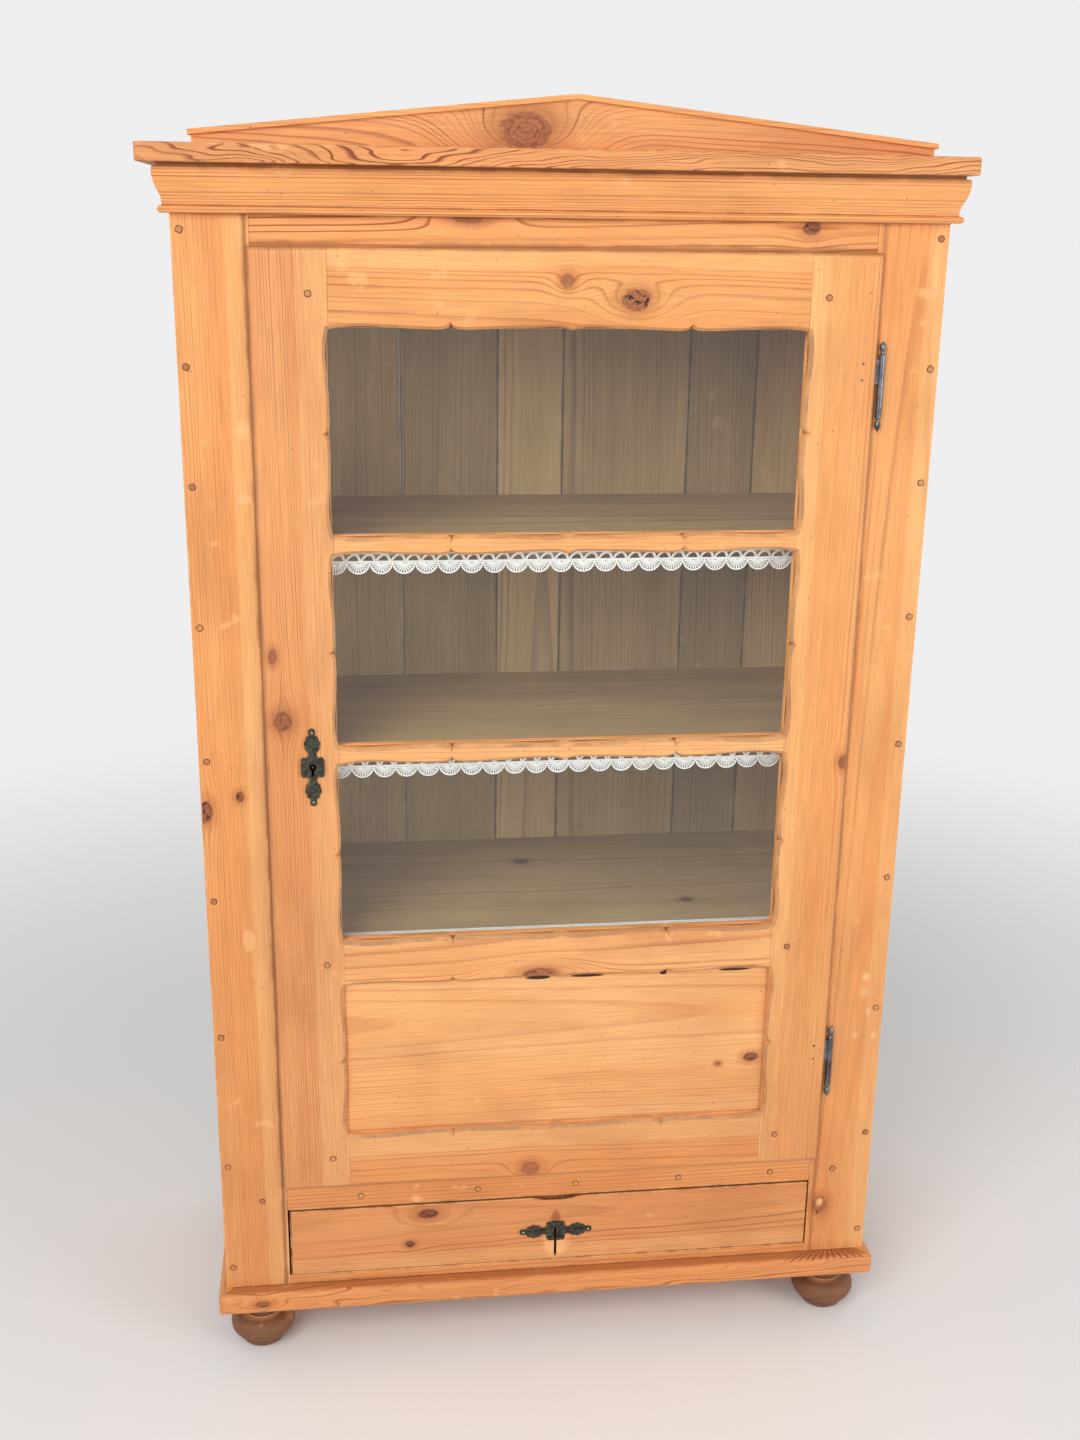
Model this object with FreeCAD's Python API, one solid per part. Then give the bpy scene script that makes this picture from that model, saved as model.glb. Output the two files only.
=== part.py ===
import FreeCAD, Part
import math
import os
from FreeCAD import Vector

# A pine display cabinet: +Z up, front towards -Y, origin on the floor in the middle of the plan.

# Carcass boards
carcass_width = 920.0
carcass_depth = 390.0
carcass_height = 1492.0
side_thickness = 20.0
frame_thickness = 24.0
frame_stile_width = 88.0
frame_tenon_length = 50.0
frame_tenon_thickness = 8.0
frame_tenon_shoulder = 8.0
frame_tenon_peg_share = 0.67
frieze_height = 98.0
drawer_rail_height = 47.5
drawer_opening_height = 105.5
floor_thickness = 20.0
floor_drop = 20.0
floor_housing = 8.0
bottom_thickness = 14.0
edge_ease = 0.8
overrun = 5.0

# Wooden pegs
peg_diameter = 8.0
peg_clearance = 0.05
peg_proud = 0.4
peg_depth = 28.0
stile_peg_shares = [0.022, 0.130, 0.263, 0.395, 0.523, 0.639, 0.755, 0.849, 0.952]
rail_peg_shares = [0.137, 0.356, 0.542, 0.741, 0.921]

# Feet and base
foot_height = 77.5
foot_diameter = 90.0
foot_bun_height = 47.0
foot_sole_diameter = 50.0
foot_neck_diameter = 50.0
foot_collar_diameter = 66.0
foot_collar_height = 8.0
foot_ring_height = 10.0
foot_ring_depth = 1.5
foot_ring_share = 0.4
foot_sole_round_share = 0.4
foot_widest_share = 0.68
foot_inset_side = 46.0
foot_inset_front = 35.0
foot_inset_back = 55.0
base_thickness = 30.5
base_width = 70.0
base_front_overhang = 22.0
base_side_overhang = 11.0
base_top_radius = 10.0
base_low_radius = 6.0
base_corner_radius = 12.0

# Top board, cornice and pediment
top_thickness = 21.0
top_front_overhang = 30.0
top_side_overhang = 27.0
top_shift = -5.5
top_corner_radius = 5.0
top_nosing = 2.5
cornice_height = 54.0
cornice_overhang = 16.0
cornice_bead_overhang = 12.0
cornice_bead_height = 8.0
cornice_cove_overhang = 7.0
cornice_wave_rise = 42.0
cornice_wave_shares = [(0, 0), (0.12, 0.03), (0.26, 0.155), (0.45, 0.578), (0.69, 0.91), (0.905, 1), (1, 0.86)]
cornice_neck_overhang = 11.0
pediment_half_length = 431.5
pediment_peak_shift = 5.0
pediment_thickness = 22.0
pediment_setback = 28.0
pediment_end_height = 9.0
pediment_rise = 45.5
rake_thickness = 6.0
rake_overhang = 4.0
block_size = 30.0
block_length = 120.0
block_place_share = 0.5

# Back boards and their nails
back_thickness = 14.0
back_rebate = 10.0
back_gap = 0.6
back_board_shares = [0.155, 0.135, 0.155, 0.105, 0.205, 0.110, 0.135]
nail_diameter = 2.5
nail_length = 34.0
nail_head_diameter = 6.0
nail_head_thickness = 1.0
nail_clearance = 0.05

# Shelves, cleats and lace
shelf_thickness = 19.0
shelf_front_setback = 35.0
shelf_end_gap = 0.5
shelf_drop = 15.5
cleat_width = 18.0
cleat_height = 22.0
cleat_front_gap = 25.0
lace_height = 42.0
lace_thickness = 1.0
lace_gap = 0.3
lace_scallops = 31
lace_scallop_depth = 12.0
lace_arch_width = 9.0
lace_arch_height = 9.0
lace_arch_drop = 8.0
lace_petal_length = 7.0
lace_petal_width = 1.6
lace_petals = 3
lace_petal_spread = 26.0
lace_petal_start = 5.0

# Door
door_lip = 10.0
door_body = 14.0
door_lip_gap = 0.5
door_clearance = 2.5
lip_overlap_lock = 4.0
lip_overlap_hinge = 7.0
lip_overlap_ends = 9.0
lip_round = 7.0
lock_stile_width = 91.0
hinge_stile_width = 88.0
top_rail_height = 92.0
bar_height = 26.0
mid_rail_height = 66.0
panel_height = 223.0
bottom_rail_height = 83.0
wave_depth = 4.0
edge_chamfer = 3.5
rebate_width = 9.5
rebate_depth = 12.5
glass_thickness = 3.0
glass_clearance = 0.5
bead_width = 8.0
panel_thickness = 8.0
panel_recess = 10.0
panel_groove = 9.0
door_tenon_length = 45.0
door_tenon_thickness = 7.0
door_tenon_shoulder = 12.0
door_peg_inset = 22.0
bar_tenon_length = 20.0
bar_tenon_height = 12.0
bar_tenon_thickness = 5.0
long_side_shares = [
    [(0, 0), (0.06, 1), (0.15, 0.45), (0.215, 0.1), (0.235, 0.25), (0.246, 0.9), (0.25, 1.75)],
    [(0.25, 1.75), (0.254, 0.9), (0.265, 0.25), (0.285, 0.1), (0.36, 0.5), (0.45, 1), (0.485, 0.75),
     (0.5, 0)],
]
short_side_shares = [
    [(0, 0), (0.1, 1), (0.3, 0.2), (0.44, 0.1), (0.472, 0.25), (0.492, 0.9), (0.5, 1.75)],
]

# Hinges
hinge_end_inset = 157.0
hinge_gap = 3.0
barrel_diameter = 8.0
knuckle_length = 36.0
knuckle_gap = 0.3
hinge_pin_diameter = 4.0
hinge_pin_clearance = 0.05
hinge_pin_reach = 30.0
hinge_pin_end_gap = 2.0
finial_length = 20.0
finial_neck_diameter = 5.0
finial_knob_diameter = 8.0
finial_ring_share = 0.1
finial_neck_share = 0.2
finial_knob_start_share = 0.3
finial_knob_share = 0.55
finial_tip_share = 0.85
leaf_thickness = 2.0
leaf_height = 30.0
frame_leaf_depth = 20.0
door_leaf_depth = 34.0
leaf_pin_diameter = 3.0
leaf_pin_inset = 18.0
leaf_pin_spacing = 20.0
leaf_pin_depth = 9.0

# Locks and keyhole plates
lock_case_length = 72.0
lock_case_width = 60.0
lock_case_depth = 11.0
lock_wall = 1.5
lock_selvedge_length = 84.0
lock_selvedge_width = 13.0
lock_setback = 51.5
bolt_length = 40.0
bolt_height = 18.0
bolt_thickness = 6.0
bolt_clearance = 0.3
bolt_throw = 11.0
mortise_clearance = 1.0
lock_pin_diameter = 3.2
door_keyhole_diameter = 9.0
door_keyhole_slot = 12.0
drawer_keyhole_diameter = 5.5
drawer_keyhole_slot = 46.0
keyhole_slot_width = 3.8
plate_half_length = 51.5
plate_half_width = 15.0
plate_thickness = 2.0
plate_relief = 1.2
plate_ring_diameter = 17.0
plate_ring_width = 2.2
plate_wing_share = 0.62
plate_rib_share = 0.14
plate_rib_span_shares = (0.3, 0.78)
plate_pin_diameter = 2.4
plate_pin_head = 4.5
plate_pin_depth = 8.0
plate_pin_share = 0.9
plate_outline_shares = [
    [(1, 0), (0.98, 0.18), (0.92, 0.28), (0.86, 0.25), (0.82, 0.21)],
    [(0.82, 0.21), (0.80, 0.38), (0.75, 0.52), (0.70, 0.47)],
    [(0.70, 0.47), (0.66, 0.64), (0.60, 0.69), (0.55, 0.55)],
    [(0.55, 0.55), (0.51, 0.62), (0.46, 0.56), (0.40, 0.38)],
    [(0.40, 0.38), (0.34, 0.33), (0.29, 0.36), (0.235, 0.56)],
    [(0.235, 0.56), (0.255, 0.78), (0.215, 0.93), (0.12, 0.97), (0, 1), (-0.12, 0.97), (-0.215, 0.93),
     (-0.255, 0.78), (-0.235, 0.56)],
]

# Drawer
drawer_side_gap = 2.5
drawer_top_gap = 3.0
drawer_bottom_gap = 1.0
drawer_run_gap = 0.3
drawer_front_thickness = 22.0
drawer_depth = 345.0
drawer_side_height = 90.0
drawer_side_thickness = 14.0
drawer_side_inset = 0.5
drawer_back_thickness = 14.0
drawer_back_drop = 6.0
drawer_board_thickness = 8.0
drawer_board_height = 10.0
drawer_groove = 6.0
drawer_lap = 6.0
tail_count = 3
tail_width = 18.0
tail_flare = 3.0
drawer_plate_offset = 4.0
drawer_plate_drop = 3.0
wear_length = 66.0
wear_depth = 4.0
guide_width = 20.0
guide_height = 25.0
guide_clearance = 1.0
kicker_width = 22.0
kicker_clearance = 2.0

# Levels and planes that the pieces share
half_width = carcass_width / 2
inside_half = half_width - side_thickness
opening_half = half_width - frame_stile_width
face_y = (top_front_overhang - carcass_depth) / 2
frame_back = face_y + frame_thickness
back_y = face_y + carcass_depth
back_front = back_y - back_thickness
base_top = foot_height + base_thickness
carcass_top = base_top + carcass_height
drawer_floor = base_top + bottom_thickness
rail_bottom = drawer_floor + drawer_opening_height
opening_bottom = rail_bottom + drawer_rail_height
opening_top = carcass_top - frieze_height
floor_top = opening_bottom - floor_drop
floor_bottom = floor_top - floor_thickness
shelf_front = face_y + shelf_front_setback

lip_back = face_y - door_lip_gap
door_front = lip_back - door_lip
door_back = lip_back + door_body
door_left = -opening_half - lip_overlap_lock
door_right = opening_half + lip_overlap_hinge
door_bottom = opening_bottom - lip_overlap_ends
door_top = opening_top + lip_overlap_ends
body_half = opening_half - door_clearance
body_bottom = opening_bottom + door_clearance
body_top = opening_top - door_clearance
pane_left = door_left + lock_stile_width
pane_right = door_right - hinge_stile_width
pane_high = door_top - top_rail_height
bottom_rail_top = door_bottom + bottom_rail_height
mid_rail_low = bottom_rail_top + panel_height
mid_rail_top = mid_rail_low + mid_rail_height
pane_height = (pane_high - mid_rail_top - 2 * bar_height) / 3
bar_step = pane_height + bar_height
panes = [(pane_high - bar_step * step - pane_height, pane_high - bar_step * step) for step in range(3)]
panel_span = (bottom_rail_top, mid_rail_low)
shelf_tops = [low - shelf_drop for low, high in reversed(panes)]
glass_front = door_back - rebate_depth
panel_front = door_front + panel_recess

barrel_radius = barrel_diameter / 2
hinge_x = door_right + hinge_gap + barrel_radius
hinge_y = lip_back - door_lip / 2
hinge_levels = [door_top - hinge_end_inset, door_bottom + hinge_end_inset]

drawer_half = opening_half - drawer_side_gap
drawer_low = drawer_floor + drawer_bottom_gap
drawer_high = rail_bottom - drawer_top_gap
drawer_front_back = face_y + drawer_front_thickness
drawer_rear = face_y + drawer_depth
drawer_box_half = drawer_half - drawer_side_inset
drawer_inner_half = drawer_box_half - drawer_side_thickness
drawer_side_low = drawer_floor + drawer_run_gap
drawer_side_high = drawer_side_low + drawer_side_height
drawer_board_low = drawer_side_low + drawer_board_height
drawer_board_high = drawer_board_low + drawer_board_thickness

door_lock_x = -body_half
door_lock_y = door_back
door_keyhole_x = door_lock_x + lock_setback
door_keyhole_z = panes[2][1]
drawer_lock_y = drawer_front_back
drawer_keyhole_x = drawer_plate_offset
drawer_keyhole_z = drawer_high - lock_setback

pieces = {}


def box(x0, x1, y0, y1, z0, z1):
    return Part.makeBox(x1 - x0, y1 - y0, z1 - z0, Vector(x0, y0, z0))


def board(x0, x1, y0, y1, z0, z1):
    plank = box(x0, x1, y0, y1, z0, z1)
    return plank.makeFillet(edge_ease, plank.Edges)


def rod(x, z, y0, y1, diameter):
    return Part.makeCylinder(diameter / 2, y1 - y0, Vector(x, y0, z), Vector(0, 1, 0))


def prism(points, direction):
    return Part.Face(Part.makePolygon(points + points[:1])).extrude(direction)


def smooth(points):
    curve = Part.BSplineCurve()
    curve.interpolate(points)
    return curve.toShape()


def arc(first, middle, last):
    return Part.Arc(first, middle, last).toShape()


def line(first, last):
    return Part.LineSegment(first, last).toShape()


def edges_where(shape, test):
    return [edge for edge in shape.Edges if test(edge.BoundBox)]


def keep(name, *shapes):
    solids = [solid for shape in shapes for solid in shape.Solids]
    pieces[name] = solids[0] if len(solids) == 1 else Part.makeCompound(solids)


def carve(shape, tools):
    room = shape.BoundBox
    return shape.cut([tool for tool in tools if room.intersect(tool.BoundBox)])


def mirrored(shape):
    return shape.mirror(Vector(0, 0, 0), Vector(1, 0, 0))


# Peg places, holes and pegs

def peg_hole(x, z, y0, y1):
    return rod(x, z, y0 - overrun, y1, peg_diameter + 2 * peg_clearance)


stile_peg_x = half_width - side_thickness / 2
stile_peg_end = frame_back + peg_depth
frame_peg_places = []
for share in stile_peg_shares:
    for side in (-1, 1):
        frame_peg_places.append((side * stile_peg_x, base_top + carcass_height * share))
rail_peg_level = floor_bottom + floor_thickness / 2
for share in rail_peg_shares:
    frame_peg_places.append(((2 * share - 1) * opening_half, rail_peg_level))
tenon_peg_x = opening_half + frame_tenon_length * frame_tenon_peg_share
tenon_peg_places = [(-tenon_peg_x, rail_peg_level), (tenon_peg_x, rail_peg_level)]

frame_holes = [peg_hole(x, z, face_y, stile_peg_end) for x, z in frame_peg_places]
frame_holes += [peg_hole(x, z, face_y, frame_back) for x, z in tenon_peg_places]
frame_pegs = [rod(x, z, face_y - peg_proud, stile_peg_end, peg_diameter) for x, z in frame_peg_places]
frame_pegs += [rod(x, z, face_y - peg_proud, frame_back, peg_diameter) for x, z in tenon_peg_places]
keep("frame_pegs", *frame_pegs)


# Locks: made once with the bolt along +X and its tip at the origin, then turned into place

def lock_place(shape, x, z, angle):
    placed = shape.copy()
    placed.rotate(Vector(0, 0, 0), Vector(0, 1, 0), angle)
    placed.translate(Vector(x, 0, z))
    return placed


def lock_shapes(back, keyhole_diameter):
    half = lock_case_width / 2
    outer = box(-lock_case_length, 0, back - lock_case_depth, back, -half, half)
    selvedge_half = lock_selvedge_length / 2
    selvedge = box(-lock_wall, 0, back - lock_selvedge_width, back, -selvedge_half, selvedge_half)
    recess = outer.fuse(selvedge)
    cavity = box(-lock_case_length + lock_wall, -lock_wall, back - lock_case_depth + lock_wall,
                 back - lock_wall, -half + lock_wall, half - lock_wall)
    middle = back - lock_case_depth / 2
    bolt_half = bolt_height / 2
    bolt_low = middle - bolt_thickness / 2
    bolt_high = middle + bolt_thickness / 2
    bolt = box(-bolt_length, 0, bolt_low, bolt_high, -bolt_half, bolt_half)
    slot = box(-lock_wall, 0, bolt_low - bolt_clearance, bolt_high + bolt_clearance,
               -bolt_half - bolt_clearance, bolt_half + bolt_clearance)
    way = rod(-lock_setback, 0, back - lock_case_depth - overrun, middle, keyhole_diameter)
    case = recess.cut([cavity, slot, way])
    mortise_half = bolt_half + mortise_clearance
    mortise = box(0, bolt_throw + mortise_clearance, bolt_low - mortise_clearance,
                  bolt_high + mortise_clearance, -mortise_half, mortise_half)
    return recess, case, bolt, mortise


def keyhole(x, z, y0, y1, diameter, slot):
    half = keyhole_slot_width / 2
    return rod(x, z, y0, y1, diameter).fuse(box(x - half, x + half, y0, y1, z - slot, z))


door_turn = 180
drawer_turn = -90
door_lock = lock_shapes(door_lock_y, door_keyhole_diameter)
door_recess, door_case, door_bolt, stile_mortise = [
    lock_place(shape, door_lock_x, door_keyhole_z, door_turn) for shape in door_lock]
drawer_lock = lock_shapes(drawer_lock_y, drawer_keyhole_diameter)
drawer_recess, drawer_case, drawer_bolt, rail_mortise = [
    lock_place(shape, drawer_keyhole_x, drawer_high, drawer_turn) for shape in drawer_lock]
stile_mortise = stile_mortise.translated(Vector(-bolt_clearance, 0, 0))
rail_mortise = rail_mortise.translated(Vector(0, 0, bolt_clearance))
door_keyhole = keyhole(door_keyhole_x, door_keyhole_z, door_front - overrun, door_back - lock_case_depth / 2,
                       door_keyhole_diameter, door_keyhole_slot)
drawer_keyhole = keyhole(drawer_keyhole_x, drawer_keyhole_z, face_y - overrun,
                         drawer_front_back - lock_case_depth / 2,
                         drawer_keyhole_diameter, drawer_keyhole_slot)
lock_pin = rod(door_keyhole_x, door_keyhole_z, door_front, door_back - lock_wall, lock_pin_diameter)
keep("door_lock", door_case.cut(door_keyhole).fuse(lock_pin))
keep("drawer_lock", drawer_case.cut(drawer_keyhole))
keep("door_bolt", door_bolt)
keep("drawer_bolt", drawer_bolt)


# Keyhole plates: a leafy outline with raised wings, ribs and a ring, held by two round-headed pins

def plate_wire(place):
    runs = list(plate_outline_shares)
    runs += [[(-s, w) for s, w in reversed(run)] for run in reversed(plate_outline_shares[:-1])]
    runs += [[(-s, -w) for s, w in run] for run in runs]
    return Part.Wire([smooth([place(plate_half_length * s, plate_half_width * w) for s, w in run])
                      for run in runs])


def plate_zone(place, along, across):
    spots = [place(plate_half_length * s, plate_half_width * w) for s, w in zip(along, across)]
    return box(min(spot.x for spot in spots), max(spot.x for spot in spots),
               spots[0].y - plate_thickness - plate_relief, spots[0].y,
               min(spot.z for spot in spots), max(spot.z for spot in spots))


def keyhole_plate(place, front, hole):
    outline = Part.Face(plate_wire(place))
    high = outline.extrude(Vector(0, -plate_thickness - plate_relief, 0))
    rib = (-plate_rib_share, plate_rib_share)
    rib_low, rib_high = plate_rib_span_shares
    end = plate_outline_shares[-1][0][0]
    zones = [plate_zone(place, (-end, end), (plate_wing_share, 1)),
             plate_zone(place, (-end, end), (-1, -plate_wing_share)),
             plate_zone(place, (rib_low, rib_high), rib), plate_zone(place, (-rib_high, -rib_low), rib)]
    deep = plate_thickness + plate_relief
    ring = Part.makeCylinder(plate_ring_diameter / 2, deep, place(0, 0), Vector(0, -1, 0))
    ring = ring.cut(Part.makeCylinder(plate_ring_diameter / 2 - plate_ring_width, deep, place(0, 0), Vector(0, -1, 0)))
    plate = outline.extrude(Vector(0, -plate_thickness, 0))
    plate = plate.fuse([high.common(zone) for zone in zones] + [ring]).cut(hole)
    pins = []
    for end in (-plate_pin_share, plate_pin_share):
        spot = place(end * plate_half_length, 0)
        shank = rod(spot.x, spot.z, front - plate_thickness, front + plate_pin_depth, plate_pin_diameter)
        radius = plate_pin_head / 2
        ball = Part.makeSphere(radius, Vector(spot.x, front - plate_thickness, spot.z))
        cap = box(spot.x - radius, spot.x + radius, front - plate_thickness - radius, front - plate_thickness,
                  spot.z - radius, spot.z + radius)
        plate = plate.cut(shank)
        pins.append(shank.fuse(ball.common(cap)))
    return plate, pins


def door_plate_place(along, across):
    return Vector(door_keyhole_x + across, door_front, door_keyhole_z + along)


def drawer_plate_place(along, across):
    return Vector(drawer_keyhole_x + along, face_y, drawer_keyhole_z - drawer_plate_drop + across)


door_plate, door_plate_pins = keyhole_plate(door_plate_place, door_front, door_keyhole)
drawer_plate, drawer_plate_pins = keyhole_plate(drawer_plate_place, face_y, drawer_keyhole)
keep("door_keyhole_plate", door_plate, *door_plate_pins)
keep("drawer_keyhole_plate", drawer_plate, *drawer_plate_pins)


# Hinges: a barrel of two knuckles with turned finials, on leaves let into the stile and the door

def finial(level, up):
    rise = finial_length if up else -finial_length
    neck = finial_neck_diameter / 2
    knob = finial_knob_diameter / 2

    def spot(radius, share):
        return Vector(hinge_x + radius, hinge_y, level + rise * share)

    stem = [spot(0, 0), spot(barrel_radius, 0), spot(barrel_radius, finial_ring_share),
            spot(neck, finial_neck_share), spot(neck, finial_knob_start_share)]
    knob_end = spot(neck / 2, finial_tip_share)
    edges = [line(a, b) for a, b in zip(stem, stem[1:])]
    edges += [arc(stem[-1], spot(knob, finial_knob_share), knob_end), line(knob_end, spot(0, 1)),
              line(spot(0, 1), stem[0])]
    return Part.Face(Part.Wire(edges)).revolve(Vector(hinge_x, hinge_y, 0), Vector(0, 0, 1), 360)


def upright(x, y, z0, z1, diameter):
    return Part.makeCylinder(diameter / 2, z1 - z0, Vector(x, y, z0))


leaf_half = leaf_thickness / 2
leaf_margin = (knuckle_length - leaf_height) / 2
frame_leaves = []
door_leaves = []
frame_leaf_slots = []
door_leaf_slots = []
leaf_pins = []
for level in hinge_levels:
    low = level - knuckle_length
    leaf_low = low + leaf_margin
    leaf_high = leaf_low + leaf_height
    frame_leaf = box(hinge_x - leaf_half, hinge_x + leaf_half, hinge_y, face_y + frame_leaf_depth,
                     leaf_low, leaf_high)
    pin = upright(hinge_x, hinge_y, low, level + hinge_pin_reach, hinge_pin_diameter)
    lower = upright(hinge_x, hinge_y, low, level - knuckle_gap / 2, barrel_diameter)
    frame_leaves.append(lower.fuse([frame_leaf, pin, finial(low, False)]).removeSplitter())
    frame_leaf_slots.append(frame_leaf)
    high = level + knuckle_length
    leaf_low = level + leaf_margin
    leaf_high = leaf_low + leaf_height
    door_leaf = box(door_right - door_leaf_depth, hinge_x, hinge_y - leaf_half, hinge_y + leaf_half,
                    leaf_low, leaf_high)
    upper = upright(hinge_x, hinge_y, level + knuckle_gap / 2, high, barrel_diameter)
    bore = upright(hinge_x, hinge_y, level, level + hinge_pin_reach + hinge_pin_end_gap,
                   hinge_pin_diameter + 2 * hinge_pin_clearance)
    leaf_middle = (leaf_low + leaf_high) / 2
    holes = [rod(door_right - leaf_pin_inset, leaf_middle + side * leaf_pin_spacing / 2,
                 door_front - peg_proud, door_front + leaf_pin_depth, leaf_pin_diameter) for side in (-1, 1)]
    leaf_pins += holes
    door_leaves.append(upper.fuse([door_leaf, finial(high, True)]).cut([bore] + holes).removeSplitter())
    door_leaf_slots.append(door_leaf)
keep("hinge_frame_halves", *frame_leaves)
keep("hinge_door_halves", *door_leaves, *leaf_pins)


# Face frame

def tenons(x0, x1, y0, thickness, z0, z1, length):
    y1 = y0 + thickness
    return [box(x0 - length, x0, y0, y1, z0, z1), box(x1, x1 + length, y0, y1, z0, z1)]


frame_tenon_front = face_y + (frame_thickness - frame_tenon_thickness) / 2


def frame_rail(z0, z1):
    ends = tenons(-opening_half, opening_half, frame_tenon_front, frame_tenon_thickness,
                  z0 + frame_tenon_shoulder, z1 - frame_tenon_shoulder, frame_tenon_length)
    return board(-opening_half, opening_half, face_y, frame_back, z0, z1), ends


frieze, frieze_tenons = frame_rail(opening_top, carcass_top)
drawer_rail, rail_tenons = frame_rail(rail_bottom, opening_bottom)
left_stile = board(-half_width, -opening_half, face_y, frame_back, base_top, carcass_top)
right_stile = mirrored(left_stile)
keep("face_stile_left", carve(left_stile, frame_holes + frieze_tenons + rail_tenons + [stile_mortise]))
keep("face_stile_right", carve(right_stile, frame_holes + frieze_tenons + rail_tenons + frame_leaf_slots))
keep("frieze_rail", frieze.fuse(frieze_tenons))
keep("drawer_rail", carve(drawer_rail.fuse(rail_tenons), frame_holes + [rail_mortise]))

# Nails through the back boards into the shelves, the floor and the bottom
back_width = 2 * (inside_half + back_rebate)
back_edges = [-back_width / 2]
for share in back_board_shares:
    back_edges.append(back_edges[-1] + back_width * share)
nail_levels = [top - shelf_thickness / 2 for top in shelf_tops]
nail_levels += [floor_top - floor_thickness / 2, base_top + bottom_thickness / 2]
nails = []
nail_holes = []
for low, high in zip(back_edges, back_edges[1:]):
    for level in nail_levels:
        x = (low + high) / 2
        shank = rod(x, level, back_y - nail_length, back_y, nail_diameter)
        head = rod(x, level, back_y - nail_head_thickness, back_y, nail_head_diameter)
        nails.append(shank.fuse(head))
        nail_holes.append(rod(x, level, back_y - nail_length, back_y, nail_diameter + 2 * nail_clearance))
        nail_holes.append(rod(x, level, back_y - nail_head_thickness - nail_clearance, back_y + overrun,
                              nail_head_diameter + 2 * nail_clearance))
keep("back_nails", *nails)

# Sides, floor, bottom and back
floor_half = inside_half + floor_housing
floor = board(-floor_half, floor_half, frame_back, back_front, floor_bottom, floor_top)
keep("floor_board", carve(floor, frame_holes + nail_holes))
floor_room = box(-floor_half, floor_half, frame_back, back_front, floor_bottom, floor_top)
back_room = box(-back_width / 2, back_width / 2, back_front, back_y + overrun, base_top - overrun,
                carcass_top + overrun)
side = board(-half_width, -inside_half, frame_back, back_y, base_top, carcass_top)
keep("side_left", carve(side, frame_holes + [floor_room, back_room]))
keep("side_right", carve(mirrored(side), frame_holes + [floor_room, back_room]))
bottom_front = board(-opening_half, opening_half, face_y, back_front, base_top, drawer_floor)
bottom_wide = board(-inside_half, inside_half, frame_back, back_front, base_top, drawer_floor)
keep("bottom_board", carve(bottom_front.fuse(bottom_wide), nail_holes))
back_boards = [board(low + back_gap / 2, high - back_gap / 2, back_front, back_y, base_top, carcass_top)
               for low, high in zip(back_edges, back_edges[1:])]
keep("back_boards", *[carve(plank, nail_holes) for plank in back_boards])

# Shelves on cleats
shelf_half = inside_half - shelf_end_gap
cleats = []
for name, top in zip(("lower", "middle", "upper"), shelf_tops):
    shelf = board(-shelf_half, shelf_half, shelf_front, back_front, top - shelf_thickness, top)
    keep("shelf_" + name, carve(shelf, nail_holes))
    cleat_top = top - shelf_thickness
    cleat = board(-inside_half, -inside_half + cleat_width, shelf_front + cleat_front_gap, back_front,
                  cleat_top - cleat_height, cleat_top)
    cleats += [cleat, mirrored(cleat)]
keep("shelf_cleats", *cleats)


# Lace: one holed strip per shelf, with a ladder of arches above fans that end in scallops

def lace_strip(top):
    plane = shelf_front - lace_gap
    pitch = 2 * shelf_half / lace_scallops
    valley = top - lace_height + lace_scallop_depth
    deepest = top - lace_height

    def spot(x, z):
        return Vector(x, plane, z)

    def arch(x):
        half = lace_arch_width / 2
        foot = top - lace_arch_drop - lace_arch_height
        spring = top - lace_arch_drop - half
        return Part.Wire([line(spot(x + half, foot), spot(x + half, spring)),
                          arc(spot(x + half, spring), spot(x, spring + half), spot(x - half, spring)),
                          line(spot(x - half, spring), spot(x - half, foot)),
                          line(spot(x - half, foot), spot(x + half, foot))])

    def petal(x, angle):
        lean = Vector(math.sin(angle), 0, -math.cos(angle))
        across = Vector(math.cos(angle), 0, math.sin(angle)) * (lace_petal_width / 2)
        start = spot(x, valley + lace_petal_start) + lean * lace_petal_start
        middle = start + lean * (lace_petal_length / 2)
        end = start + lean * lace_petal_length
        return Part.Wire([arc(start, middle + across, end), arc(end, middle - across, start)])

    outline = [line(spot(-shelf_half, valley), spot(-shelf_half, top)),
               line(spot(-shelf_half, top), spot(shelf_half, top)),
               line(spot(shelf_half, top), spot(shelf_half, valley))]
    holes = []
    for index in range(lace_scallops):
        right = shelf_half - pitch * index
        x = right - pitch / 2
        outline.append(arc(spot(right, valley), spot(x, deepest), spot(right - pitch, valley)))
        holes += [arch(x - pitch / 4), arch(x + pitch / 4)]
        for turn in range(lace_petals):
            holes.append(petal(x, math.radians(lace_petal_spread * (turn - (lace_petals - 1) / 2))))
    face = Part.makeFace([Part.Wire(outline)] + holes, "Part::FaceMakerBullseye")
    return face.extrude(Vector(0, -lace_thickness, 0))


for name, top in zip(("lower", "middle", "upper"), shelf_tops):
    keep("lace_" + name, lace_strip(top))

# Drawer guides beside the drawer and kickers above its sides
guide_inner = drawer_box_half + guide_clearance
guide = board(-guide_inner - guide_width, -guide_inner, frame_back, back_front, drawer_floor,
              drawer_floor + guide_height)
kicker_low = drawer_side_high + kicker_clearance
kicker = board(-guide_inner, -guide_inner + kicker_width, frame_back, back_front, kicker_low, floor_bottom)
keep("drawer_guides", guide, mirrored(guide), kicker, mirrored(kicker))


# Base moulding: three mitred pieces with rounded outer edges and corners

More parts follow.
